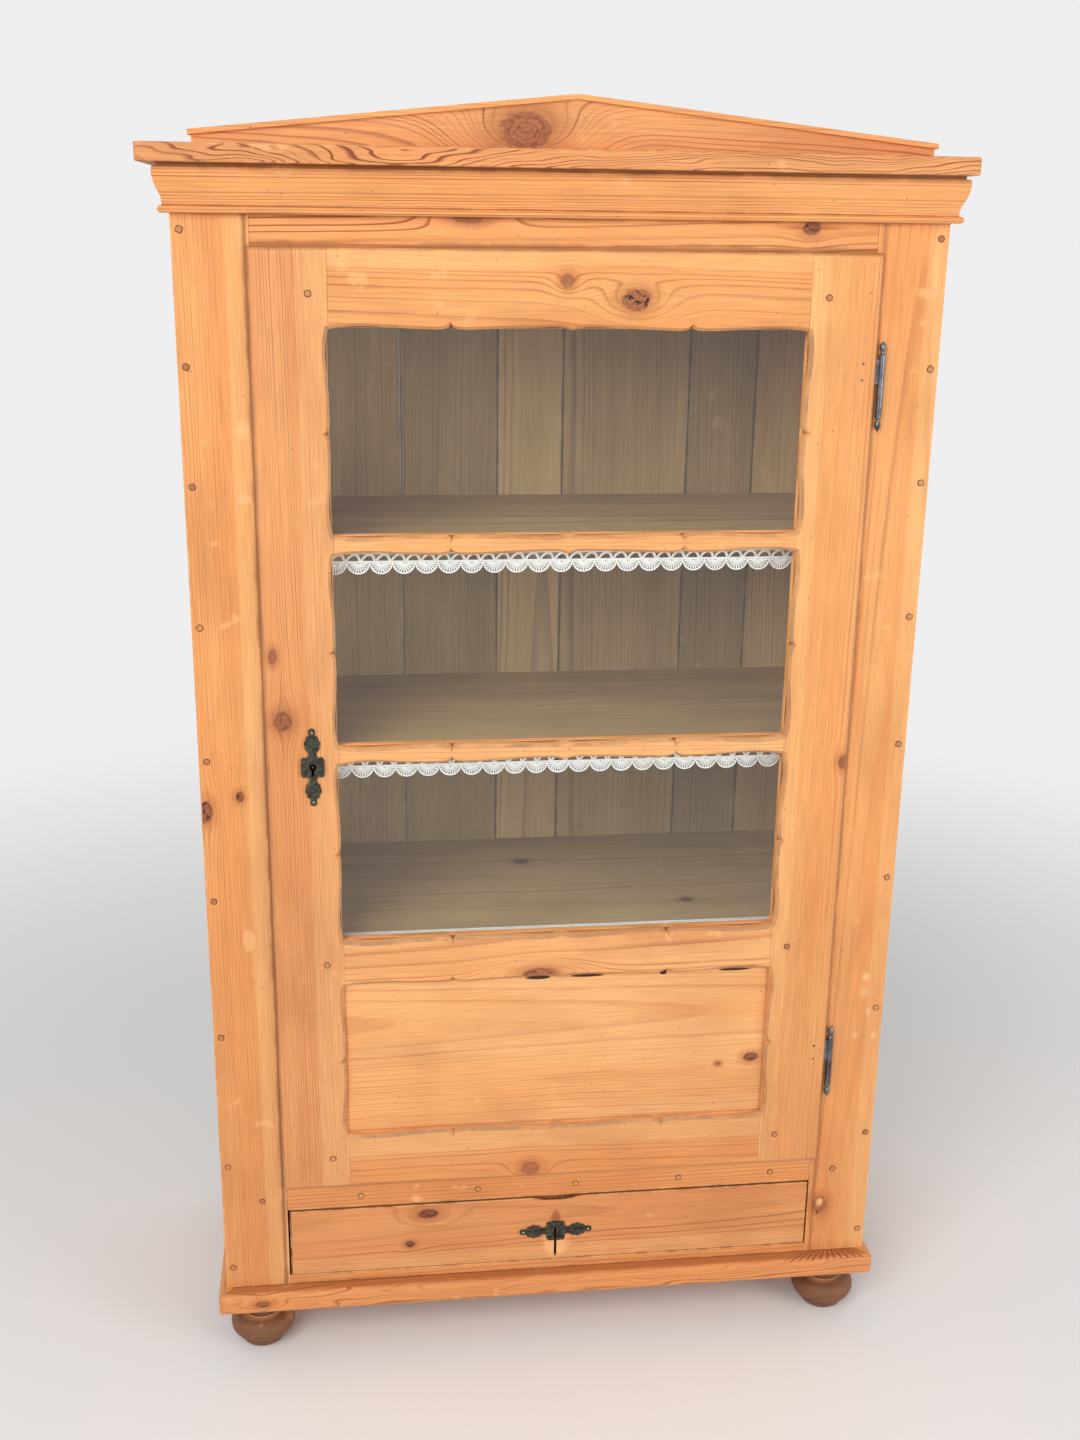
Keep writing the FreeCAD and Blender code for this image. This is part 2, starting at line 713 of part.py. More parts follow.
def base_profile(place):
    low_round = base_low_radius * (1 - math.sqrt(1 / 2))
    top_round = base_top_radius * (1 - math.sqrt(1 / 2))
    points = [place(base_width, foot_height), place(base_low_radius, foot_height),
              place(low_round, foot_height + low_round), place(0, foot_height + base_low_radius),
              place(0, base_top - base_top_radius), place(top_round, base_top - top_round),
              place(base_top_radius, base_top), place(base_width, base_top)]
    return Part.Face(Part.Wire([line(points[0], points[1]), arc(*points[1:4]), line(points[3], points[4]),
                                arc(*points[4:7]), line(points[6], points[7]), line(points[7], points[0])]))


base_half = half_width + base_side_overhang
base_front = face_y - base_front_overhang
base_front_profile = base_profile(lambda inward, z: Vector(-base_half, base_front + inward, z))
base_left_profile = base_profile(lambda inward, z: Vector(-base_half + inward, base_front, z))
base_rise = Vector(0, 0, base_thickness)
front_region = prism([Vector(-base_half, base_front, foot_height), Vector(base_half, base_front, foot_height),
                      Vector(base_half - base_width, base_front + base_width, foot_height),
                      Vector(-base_half + base_width, base_front + base_width, foot_height)], base_rise)
left_region = prism([Vector(-base_half, base_front, foot_height),
                     Vector(-base_half + base_width, base_front + base_width, foot_height),
                     Vector(-base_half + base_width, back_y, foot_height),
                     Vector(-base_half, back_y, foot_height)], base_rise)
base_plan = box(-base_half, base_half, base_front, back_y, foot_height, base_top)
base_corners = edges_where(base_plan, lambda room: room.ZLength > room.XLength and room.YMax < face_y)
base_plan = base_plan.makeFillet(base_corner_radius, base_corners)
base_left = base_left_profile.extrude(Vector(0, back_y - base_front, 0)).common(left_region).common(base_plan)
base_middle = base_front_profile.extrude(Vector(2 * base_half, 0, 0)).common(front_region)
keep("base_front", base_middle.common(base_plan))
keep("base_left", base_left)
keep("base_right", mirrored(base_left))


# Bun feet: turned, with an incised ring

def foot(x, y):
    def spot(radius, z):
        return Vector(x + radius, y, z)

    sole = foot_sole_diameter / 2
    bun = foot_diameter / 2
    neck = foot_neck_diameter / 2
    collar = foot_collar_diameter / 2
    ring = foot_ring_height
    ring_radius = sole + (bun - sole) * foot_ring_share
    ring_low = spot(ring_radius, ring)
    ring_deep = spot(ring_radius - foot_ring_depth, ring + foot_ring_depth)
    ring_high = spot(ring_radius, ring + 2 * foot_ring_depth)
    sole_round = spot((sole + ring_radius) / 2 + foot_ring_depth, ring * foot_sole_round_share)
    collar_low = foot_height - foot_collar_height
    neck_middle = (foot_bun_height + collar_low) / 2
    edges = [
        line(spot(0, 0), spot(sole, 0)),
        arc(spot(sole, 0), sole_round, ring_low),
        line(ring_low, ring_deep),
        line(ring_deep, ring_high),
        arc(ring_high, spot(bun, foot_bun_height * foot_widest_share),
            spot(neck + foot_ring_depth, foot_bun_height)),
        line(spot(neck + foot_ring_depth, foot_bun_height), spot(neck, foot_bun_height + foot_ring_depth)),
        arc(spot(neck, foot_bun_height + foot_ring_depth), spot(neck - foot_ring_depth, neck_middle),
            spot(neck, collar_low - foot_ring_depth)),
        line(spot(neck, collar_low - foot_ring_depth), spot(collar, collar_low)),
        line(spot(collar, collar_low), spot(collar, foot_height)),
        line(spot(collar, foot_height), spot(0, foot_height)),
        line(spot(0, foot_height), spot(0, 0)),
    ]
    return Part.Face(Part.Wire(edges)).revolve(Vector(x, y, 0), Vector(0, 0, 1), 360)


foot_x = half_width - foot_inset_side
for name, y in (("front", face_y + foot_inset_front), ("back", back_y - foot_inset_back)):
    keep("foot_" + name + "_left", foot(-foot_x, y))
    keep("foot_" + name + "_right", foot(foot_x, y))

# Top board with eased front corners and edges
top_half = half_width + top_side_overhang
top_front = face_y - top_front_overhang
top_high = carcass_top + top_thickness
top_slab = box(top_shift - top_half, top_shift + top_half, top_front, back_y, carcass_top, top_high)
corner_edges = edges_where(top_slab, lambda room: room.ZLength > room.XLength and room.YMax < face_y)
top_slab = top_slab.makeFillet(top_corner_radius, corner_edges)
nosed_edges = edges_where(top_slab, lambda room: room.ZLength < edge_ease and room.YMin < back_y - edge_ease)
keep("top_board", top_slab.makeFillet(top_nosing, nosed_edges))


# Cornice: a bead, then a wave that is hollow below and round above, mitred at the front corners

def cornice_profile(place):
    low = carcass_top - cornice_height
    wave_low = low + cornice_bead_height
    wave_depth_out = cornice_overhang - cornice_cove_overhang
    wave = [place(cornice_cove_overhang + wave_depth_out * out, wave_low + cornice_wave_rise * rise)
            for rise, out in cornice_wave_shares]
    step = wave_low + cornice_wave_rise
    bead_root = cornice_cove_overhang + edge_ease
    bead = [place(bead_root, low), place(cornice_bead_overhang, (low + wave_low) / 2), place(bead_root, wave_low)]
    rest = [wave[-1], place(cornice_neck_overhang, step), place(cornice_neck_overhang, carcass_top),
            place(0, carcass_top), place(0, low), bead[0]]
    return Part.Face(Part.Wire([arc(*bead), line(bead[2], wave[0]), smooth(wave)] +
                               [line(a, b) for a, b in zip(rest, rest[1:])]))


cornice_low = carcass_top - cornice_height
cornice_rise = Vector(0, 0, cornice_height)
cornice_half = half_width + cornice_overhang
cornice_front_y = face_y - cornice_overhang
cornice_front_region = prism([Vector(-half_width, face_y, cornice_low),
                              Vector(half_width, face_y, cornice_low),
                              Vector(cornice_half, cornice_front_y, cornice_low),
                              Vector(-cornice_half, cornice_front_y, cornice_low)], cornice_rise)
cornice_left_region = prism([Vector(-half_width, face_y, cornice_low),
                             Vector(-cornice_half, cornice_front_y, cornice_low),
                             Vector(-cornice_half, back_y, cornice_low),
                             Vector(-half_width, back_y, cornice_low)], cornice_rise)
cornice_front = cornice_profile(lambda out, z: Vector(-cornice_half, face_y - out, z))
cornice_left = cornice_profile(lambda out, z: Vector(-half_width - out, cornice_front_y, z))
cornice_left = cornice_left.extrude(Vector(0, back_y - cornice_front_y, 0)).common(cornice_left_region)
keep("cornice_front", cornice_front.extrude(Vector(2 * cornice_half, 0, 0)).common(cornice_front_region))
keep("cornice_left", cornice_left)
keep("cornice_right", mirrored(cornice_left))

# Pediment: a low triangular board with a strip along each slope and blocks behind
pediment_front = top_front + pediment_setback
pediment_back = pediment_front + pediment_thickness
pediment_low = top_high + pediment_end_height
pediment_apex = pediment_low + pediment_rise
pediment_points = [Vector(-pediment_half_length, pediment_front, top_high),
                   Vector(pediment_half_length, pediment_front, top_high),
                   Vector(pediment_half_length, pediment_front, pediment_low),
                   Vector(pediment_peak_shift, pediment_front, pediment_apex),
                   Vector(-pediment_half_length, pediment_front, pediment_low)]
keep("pediment_board", prism(pediment_points, Vector(0, pediment_thickness, 0)))


def rake_strip(side):
    run = pediment_half_length - side * pediment_peak_shift
    slope = pediment_rise / run
    end = side * (pediment_half_length + rake_overhang)
    end_low = pediment_low - rake_overhang * slope
    lift = rake_thickness * math.sqrt(1 + slope * slope)
    front = pediment_front - rake_overhang
    points = [Vector(end, front, end_low), Vector(pediment_peak_shift, front, pediment_apex),
              Vector(pediment_peak_shift, front, pediment_apex + lift), Vector(end, front, end_low + lift)]
    strip = prism(points, Vector(0, pediment_thickness + rake_overhang, 0))
    return strip.makeFillet(edge_ease, edges_where(
        strip, lambda room: room.XLength > edge_ease or abs(room.XMin - pediment_peak_shift) > edge_ease))


keep("pediment_rakes", rake_strip(-1), rake_strip(1))
block_x = -pediment_half_length * block_place_share
block_high = pediment_low + pediment_rise * (1 - block_place_share) - rake_thickness
block_points = [Vector(block_x, pediment_back, top_high),
                Vector(block_x, pediment_back + block_size, top_high),
                Vector(block_x, pediment_back, min(top_high + block_size, block_high))]
block = prism(block_points, Vector(block_length, 0, 0))
keep("pediment_blocks", block, mirrored(block))


# Door openings: braced outlines with a chamfer towards the front

def brace_runs(half_runs):
    return half_runs + [[(1 - u, v) for u, v in reversed(run)] for run in reversed(half_runs)]


def brace_side(start, end, outward, half_runs):
    span = end - start
    return [smooth([start + span * u + outward * (wave_depth * v) for u, v in run])
            for run in brace_runs(half_runs)]


def opening_wire(low, high, grow, y):
    left = pane_left - grow
    right = pane_right + grow
    corners = [Vector(left, y, low - grow), Vector(right, y, low - grow),
               Vector(right, y, high + grow), Vector(left, y, high + grow)]
    edges = brace_side(corners[0], corners[1], Vector(0, 0, -1), long_side_shares)
    edges += brace_side(corners[1], corners[2], Vector(1, 0, 0), short_side_shares)
    edges += brace_side(corners[2], corners[3], Vector(0, 0, 1), long_side_shares)
    edges += brace_side(corners[3], corners[0], Vector(-1, 0, 0), short_side_shares)
    return Part.Wire(edges)


def opening_cut(low, high):
    wide = opening_wire(low, high, edge_chamfer + overrun, door_front - overrun)
    narrow = opening_wire(low, high, 0, door_front + edge_chamfer)
    deep = opening_wire(low, high, 0, door_back + overrun)
    return [Part.makeLoft([wide, narrow, deep], True, True)]


def rebate_cut(low, high):
    return box(pane_left - rebate_width, pane_right + rebate_width, glass_front, door_back + overrun,
               low - rebate_width, high + rebate_width)


pane_cuts = [opening_cut(low, high) + [rebate_cut(low, high)] for low, high in panes]
panel = box(pane_left - panel_groove, pane_right + panel_groove, panel_front, panel_front + panel_thickness,
            panel_span[0] - panel_groove, panel_span[1] + panel_groove)
panel_cuts = opening_cut(*panel_span) + [panel]
every_cut = [cut for cuts in pane_cuts for cut in cuts] + panel_cuts


# Door rails and bars, each with a tenon at both ends, and the lip rounded on the door's outer edges

def lip_board(x0, x1, z0, z1):
    lip = box(x0, x1, door_front, lip_back, z0, z1)

    def outer(room):
        at_end = room.ZMax < door_bottom + edge_ease or room.ZMin > door_top - edge_ease
        at_side = room.XMax < door_left + edge_ease or room.XMin > door_right - edge_ease
        return room.YMax < door_front + edge_ease and (at_end or at_side)

    rounded = edges_where(lip, outer)
    return lip.makeFillet(lip_round, rounded) if rounded else lip


def door_rail(z0, z1, cuts):
    low = max(z0, body_bottom)
    high = min(z1, body_top)
    body = box(pane_left, pane_right, lip_back, door_back, low, high)
    rail = lip_board(pane_left, pane_right, z0, z1).fuse(body).removeSplitter()
    ends = tenons(pane_left, pane_right, lip_back, door_tenon_thickness, low + door_tenon_shoulder,
                  high - door_tenon_shoulder, door_tenon_length)
    return carve(rail, cuts).fuse(ends), ends


def door_bar(z0, z1, cuts):
    middle = (z0 + z1) / 2
    bar = box(pane_left, pane_right, door_front, door_back, z0, z1)
    ends = tenons(pane_left, pane_right, door_front + edge_chamfer, bar_tenon_thickness,
                  middle - bar_tenon_height / 2, middle + bar_tenon_height / 2, bar_tenon_length)
    return carve(bar, cuts).fuse(ends), ends


top_rail, top_tenons = door_rail(pane_high, door_top, pane_cuts[0])
mid_rail, mid_tenons = door_rail(mid_rail_low, mid_rail_top, pane_cuts[2] + panel_cuts)
bottom_rail, bottom_tenons = door_rail(door_bottom, bottom_rail_top, panel_cuts)
upper_bar, upper_tenons = door_bar(panes[1][1], panes[0][0], pane_cuts[0] + pane_cuts[1])
lower_bar, lower_tenons = door_bar(panes[2][1], panes[1][0], pane_cuts[1] + pane_cuts[2])
door_tenons = top_tenons + mid_tenons + bottom_tenons + upper_tenons + lower_tenons

rail_spans = [(pane_high, body_top), (mid_rail_low, mid_rail_top), (body_bottom, bottom_rail_top)]
door_peg_places = []
for low, high in rail_spans:
    level = (low + high) / 2
    door_peg_places += [(pane_left - door_peg_inset, level), (pane_right + door_peg_inset, level)]
door_holes = [peg_hole(x, z, door_front, door_back + overrun) for x, z in door_peg_places]
keep("door_pegs", *[rod(x, z, door_front - peg_proud, door_back, peg_diameter) for x, z in door_peg_places])
keep("door_top_rail", carve(top_rail, door_holes))
keep("door_mid_rail", carve(mid_rail, door_holes))
keep("door_bottom_rail", carve(bottom_rail, door_holes))
keep("door_bar_upper", upper_bar)
keep("door_bar_lower", lower_bar)


# Door stiles, full height

def door_stile(x0, x1):
    body = box(max(x0, -body_half), min(x1, body_half), lip_back, door_back, body_bottom, body_top)
    stile = lip_board(x0, x1, door_bottom, door_top).fuse(body).removeSplitter()
    return carve(stile, every_cut + door_tenons + door_holes)


door_room = box(door_left, door_right, door_front, door_back, door_bottom, door_top)
plate_pin_holes = [pin.common(door_room) for pin in door_plate_pins]
lock_stile = door_stile(door_left, pane_left)
hinge_stile = door_stile(pane_right, door_right)
keep("door_stile_lock", lock_stile.cut([door_recess, door_keyhole] + plate_pin_holes))
keep("door_stile_hinge", hinge_stile.cut(door_leaf_slots + leaf_pins))
keep("door_panel", panel)

# Glass and the beads that hold it from behind
beads = []
glass_left = pane_left - rebate_width + glass_clearance
glass_right = pane_right + rebate_width - glass_clearance
glass_back = glass_front + glass_thickness
for name, (low, high) in zip(("upper", "middle", "lower"), panes):
    glass_low = low - rebate_width + glass_clearance
    glass_high = high + rebate_width - glass_clearance
    keep("glass_" + name, box(glass_left, glass_right, glass_front, glass_back, glass_low, glass_high))
    room_left = pane_left - rebate_width
    room_right = pane_right + rebate_width
    room_low = low - rebate_width
    room_high = high + rebate_width
    beads += [board(room_left, room_left + bead_width, glass_back, door_back, room_low, room_high),
              board(room_right - bead_width, room_right, glass_back, door_back, room_low, room_high),
              board(room_left + bead_width, room_right - bead_width, glass_back, door_back, room_low,
                    room_low + bead_width),
              board(room_left + bead_width, room_right - bead_width, glass_back, door_back,
                    room_high - bead_width, room_high)]
keep("glazing_beads", *beads)


# Drawer: sides dovetailed into the front and the back, bottom in grooves

def tails(y_root, y_end, z0, z1):
    pitch = (z1 - z0) / tail_count
    wedges = []
    for index in range(tail_count):
        middle = z0 + pitch * (index + 1 / 2)
        half = tail_width / 2
        flared = half + tail_flare
        corners = [(y_root, middle - half), (y_end, middle - flared),
                   (y_end, middle + flared), (y_root, middle + half)]
        wedges.append(prism([Vector(-drawer_box_half, y, z) for y, z in corners],
                            Vector(drawer_side_thickness, 0, 0)))
    return wedges


back_low = drawer_board_high
back_high = drawer_side_high - drawer_back_drop
back_inner = drawer_rear - drawer_back_thickness
front_tails = tails(drawer_front_back, face_y + drawer_lap, drawer_side_low, drawer_side_high)
back_tails = tails(back_inner, drawer_rear, back_low, back_high)
drawer_bottom = box(-drawer_inner_half - drawer_groove, drawer_inner_half + drawer_groove,
                    drawer_front_back - drawer_groove, drawer_rear, drawer_board_low, drawer_board_high)
drawer_side = board(-drawer_box_half, -drawer_inner_half, drawer_front_back, back_inner, drawer_side_low,
                    drawer_side_high)
drawer_side = drawer_side.fuse(front_tails + back_tails)
tail_sockets = front_tails + [mirrored(tail) for tail in front_tails]
back_sockets = back_tails + [mirrored(tail) for tail in back_tails]
drawer_face = board(-drawer_half, drawer_half, face_y, drawer_front_back, drawer_low, drawer_high)
front_room = box(-drawer_half, drawer_half, face_y, drawer_front_back, drawer_low, drawer_high)
drawer_pin_holes = [pin.common(front_room) for pin in drawer_plate_pins]
wear_radius = (wear_length * wear_length / 4 + wear_depth * wear_depth) / (2 * wear_depth)
worn_hollow = rod(drawer_keyhole_x, drawer_high + wear_radius - wear_depth, face_y - overrun,
                  drawer_front_back - lock_selvedge_width, 2 * wear_radius)
front_cuts = [drawer_bottom, drawer_recess, drawer_keyhole, worn_hollow]
drawer_face = carve(drawer_face, tail_sockets + front_cuts + drawer_pin_holes)
drawer_back = board(-drawer_box_half, drawer_box_half, back_inner, drawer_rear, back_low, back_high)
keep("drawer_front", drawer_face)
keep("drawer_side_left", drawer_side.cut(drawer_bottom))
keep("drawer_side_right", mirrored(drawer_side).cut(drawer_bottom))
keep("drawer_back", drawer_back.cut(back_sockets))
keep("drawer_bottom", drawer_bottom)

os.makedirs("parts", exist_ok=True)
for name, shape in pieces.items():
    shape.exportStep("parts/" + name + ".step")
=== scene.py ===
import math

import bpy
import numpy as np
from mathutils import Matrix, Vector


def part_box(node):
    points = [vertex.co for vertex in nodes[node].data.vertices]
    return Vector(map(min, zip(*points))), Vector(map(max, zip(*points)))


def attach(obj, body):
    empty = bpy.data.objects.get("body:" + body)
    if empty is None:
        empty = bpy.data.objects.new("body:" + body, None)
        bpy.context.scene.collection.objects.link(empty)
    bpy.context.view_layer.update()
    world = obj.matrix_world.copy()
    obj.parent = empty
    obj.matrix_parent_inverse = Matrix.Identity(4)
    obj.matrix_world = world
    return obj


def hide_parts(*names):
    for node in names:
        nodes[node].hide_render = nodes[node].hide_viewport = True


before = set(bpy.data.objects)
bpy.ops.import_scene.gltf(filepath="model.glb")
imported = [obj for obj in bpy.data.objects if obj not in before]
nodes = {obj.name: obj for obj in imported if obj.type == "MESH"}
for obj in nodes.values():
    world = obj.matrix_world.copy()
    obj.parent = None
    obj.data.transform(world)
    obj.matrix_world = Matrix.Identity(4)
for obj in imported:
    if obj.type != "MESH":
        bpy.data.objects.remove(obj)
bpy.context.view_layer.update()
rng = np.random.default_rng(41)
print("frame loaded:", len(nodes), "nodes")


def newObject(name, data):
    made = bpy.data.objects.new(name, data)
    bpy.context.scene.collection.objects.link(made)
    return made


# Camera, at the height and turn that the cabinet's straight edges give
cameraSetup = {"place": (-0.2686, -2.1076, 1.5446), "yaw": 7.1, "pitch": 17.47, "roll": 0.8,
               "lens": 39.775, "sensor": 36}


def placeCamera(setup):
    yaw, pitch, roll = (math.radians(setup[key]) for key in ("yaw", "pitch", "roll"))
    ahead = Vector((math.sin(yaw) * math.cos(pitch), math.cos(yaw) * math.cos(pitch), -math.sin(pitch)))
    level = Vector((math.cos(yaw), -math.sin(yaw), 0))
    rise = level.cross(ahead)
    right = level * math.cos(roll) + rise * math.sin(roll)
    up = rise * math.cos(roll) - level * math.sin(roll)
    camera = newObject("photoCamera", bpy.data.cameras.new("photoCamera"))
    camera.data.lens = setup["lens"]
    camera.data.sensor_width = setup["sensor"]
    camera.matrix_world = Matrix((
        (right.x, up.x, -ahead.x, setup["place"][0]),
        (right.y, up.y, -ahead.y, setup["place"][1]),
        (right.z, up.z, -ahead.z, setup["place"][2]),
        (0, 0, 0, 1)))
    bpy.context.scene.camera = camera


placeCamera(cameraSetup)
bpy.context.scene.view_settings.view_transform = "Standard"


# Shader helpers: each makes a node, or a few, and most give back an output

def addNode(tree, kind, **options):
    node = tree.nodes.new(kind)
    for key, value in options.items():
        setattr(node, key, value)
    return node


def feed(tree, socket, value):  # a link or a plain value
    if isinstance(value, bpy.types.NodeSocket):
        tree.links.new(value, socket)
    else:
        socket.default_value = value


def wire(tree, node, *values):  # inputs in their order
    for socket, value in zip(node.inputs, values):
        feed(tree, socket, value)
    return node.outputs[0]


def fill(tree, node, values):  # inputs by name, where _ joins the words of a name
    for key, value in values.items():
        feed(tree, node.inputs[key.replace("_", " ")], value)
    return node


def nodeWith(tree, kind, **values):
    return fill(tree, addNode(tree, kind), values)


def place(tree, group, **values):  # puts a group into a material
    return fill(tree, addNode(tree, "ShaderNodeGroup", node_tree=group), values).outputs


def calc(tree, operation, *values, clamp=False):
    return wire(tree, addNode(tree, "ShaderNodeMath", operation=operation, use_clamp=clamp), *values)


def times(tree, first, *others):
    for value in others:
        first = calc(tree, "MULTIPLY", first, value)
    return first


def vec(tree, operation, *values):
    return wire(tree, addNode(tree, "ShaderNodeVectorMath", operation=operation), *values)


def length(tree, vector):
    node = addNode(tree, "ShaderNodeVectorMath", operation="LENGTH")
    wire(tree, node, vector)
    return node.outputs["Value"]


def parts(tree, vector):
    node = addNode(tree, "ShaderNodeSeparateXYZ")
    wire(tree, node, vector)
    return tuple(node.outputs)


def together(tree, x, y, z):
    return wire(tree, addNode(tree, "ShaderNodeCombineXYZ"), x, y, z)


def noise(tree, vector, scale=1.0, detail=2.0, rough=0.5):  # three scales stretch it along the axes
    if isinstance(scale, tuple):
        vector, scale = vec(tree, "MULTIPLY", vector, scale), 1.0
    return nodeWith(tree, "ShaderNodeTexNoise", Vector=vector, Scale=scale, Detail=detail, Roughness=rough).outputs[0]


def ramp(tree, value, low, high, toLow=0.0, toHigh=1.0):  # smooth step from low to high
    node = addNode(tree, "ShaderNodeMapRange", interpolation_type="SMOOTHSTEP")
    return wire(tree, node, value, low, high, toLow, toHigh)


def between(tree, value, rise, fall):  # up by one smooth step and down by another
    return calc(tree, "SUBTRACT", ramp(tree, value, *rise), ramp(tree, value, *fall))


def blend(tree, factor, first, second):
    node = addNode(tree, "ShaderNodeMix", data_type="RGBA")
    for index, value in ((0, factor), (6, first), (7, second)):
        feed(tree, node.inputs[index], value)
    return node.outputs[2]


def lay(tree, color, tone, *masks):  # a tone over a colour, where all the masks are
    return blend(tree, times(tree, *masks), color, tone)


def mixed(tree, share, first, second):  # one shader or the other
    return wire(tree, addNode(tree, "ShaderNodeMixShader"), share, first.outputs[0], second.outputs[0])


def relief(tree, height, depth, strength=0.5):
    return nodeWith(tree, "ShaderNodeBump", Strength=strength, Distance=depth, Height=height).outputs[0]


def surface(tree, shader, kind="ShaderNodeOutputMaterial"):
    tree.links.new(shader, addNode(tree, kind).inputs["Surface"])


def newGroup(name, takes, gives):  # inputs with their defaults, outputs with their count of numbers
    tree = bpy.data.node_groups.new(name, "ShaderNodeTree")
    kinds = {1: "NodeSocketFloat", 3: "NodeSocketVector", 4: "NodeSocketColor"}
    for label, default in takes.items():
        socket = tree.interface.new_socket(label, in_out="INPUT", socket_type=kinds[np.size(default)])
        socket.default_value = default
    for label, count in gives.items():
        tree.interface.new_socket(label, in_out="OUTPUT", socket_type=kinds[count])
    return tree, addNode(tree, "NodeGroupInput").outputs, addNode(tree, "NodeGroupOutput").inputs


def newMaterial(name):
    material = bpy.data.materials.new(name)
    material.use_nodes = True
    material.node_tree.nodes.clear()
    return material, material.node_tree


def srgb(red, green, blue):  # 0 to 255 as seen on screen, to linear light
    shares = [c / 255 for c in (red, green, blue)]
    return tuple(s / 12.92 if s <= 0.04045 else ((s + 0.055) / 1.055) ** 2.4 for s in shares) + (1.0,)


# Pine grain: distance from a pith beside the board, wandering along it,
# cut into rings that darken slowly and end sharply
grainLook = {"slow": (1.3, 6.0, 6.0), "brisk": (6.0, 30.0, 30.0), "fade": (3.0, 9.0, 9.0),
             "fibre": (16.0, 760.0, 760.0), "broad": (1.8, 20.0, 20.0), "blush": (3.5, 11.0, 11.0),
             "darken": (0.58, 0.88), "end": (0.90, 0.98)}


def makePineGrain(look):
    tree, take, give = newGroup("pineGrain", {
        "Vector": (0, 0, 0), "Lift": 0.0, "Ring": 0.005, "Pith Across": 0.0, "Pith Depth": 0.06, "Taper": 0.01,
        "Wander": 0.012, "Bold": 0.6, "Sap Edge": 1.0, "Sap Side": 1.0, "Seed": 0.0, "Honey": (0.8, 0.4, 0.15, 1),
        "Pale": (0.9, 0.5, 0.2, 1), "Line": (0.4, 0.12, 0.04, 1)}, {"Color": 4, "Height": 1, "Late": 1})
    spot = vec(tree, "ADD", take["Vector"], together(tree, take["Seed"], times(tree, take["Seed"], 0.37), 0.0))
    slow = calc(tree, "SUBTRACT", noise(tree, spot, look["slow"], 1.5), 0.5)
    brisk = calc(tree, "SUBTRACT", noise(tree, spot, look["brisk"]), 0.5)
    drift = times(tree, calc(tree, "MULTIPLY_ADD", brisk, 0.16, slow), take["Wander"], 2.0)
    along, across, depth = parts(tree, take["Vector"])
    sideways = calc(tree, "ADD", calc(tree, "SUBTRACT", across, take["Pith Across"]), drift)
    inwards = calc(tree, "SUBTRACT", depth, take["Pith Depth"])
    reach = length(tree, together(tree, sideways, inwards, 0.0))
    reach = calc(tree, "ADD", calc(tree, "MULTIPLY_ADD", along, take["Taper"], reach), take["Lift"])
    rings = calc(tree, "DIVIDE", reach, take["Ring"])
    uneven = noise(tree, together(tree, times(tree, rings, 0.23), take["Seed"], 0.0), detail=1.0)
    rings = calc(tree, "MULTIPLY_ADD", uneven, 3.4, rings)
    late = between(tree, calc(tree, "FRACT", rings), look["darken"], look["end"])
    lottery = addNode(tree, "ShaderNodeTexWhiteNoise", noise_dimensions="1D")
    feed(tree, lottery.inputs["W"], calc(tree, "ADD", calc(tree, "FLOOR", rings), take["Seed"]))
    late = times(tree, late, ramp(tree, lottery.outputs[0], 0.0, 1.0, 0.25, 1.0))
    late = times(tree, late, ramp(tree, noise(tree, spot, look["fade"], 1.0), 0.3, 0.62, 0.5, 1.0))
    sap = calc(tree, "SUBTRACT", calc(tree, "MULTIPLY_ADD", drift, 0.3, across), take["Sap Edge"])
    sap = ramp(tree, times(tree, sap, take["Sap Side"]), -0.001, 0.003)
    bold = times(tree, take["Bold"], ramp(tree, sap, 0.0, 1.0, 1.0, 0.4))
    line = calc(tree, "MULTIPLY", late, bold, clamp=True)
    fibre = noise(tree, spot, look["fibre"])
    broad = noise(tree, spot, look["broad"])
    paleness = calc(tree, "MULTIPLY_ADD", sap, 0.5, ramp(tree, broad, 0.3, 0.75, 0.0, 0.5), clamp=True)
    ground = blend(tree, paleness, take["Honey"], take["Pale"])
    blush = noise(tree, spot, look["blush"], 3.0)
    ground = blend(tree, ramp(tree, blush, 0.45, 0.8, 0.0, 0.3), ground, take["Line"])
    ground = blend(tree, line, ground, take["Line"])
    shade = ramp(tree, fibre, 0.25, 0.75, 0.86, 1.09)
    feed(tree, give["Color"], vec(tree, "MULTIPLY", ground, together(tree, shade, shade, shade)))
    feed(tree, give["Late"], line)
    feed(tree, give["Height"], calc(tree, "SUBTRACT", times(tree, fibre, 0.35), times(tree, line, 0.5)))
    return tree


# Knot: the lines part round it, and a disc with its own rings, a dark rim and broken patches fills the middle

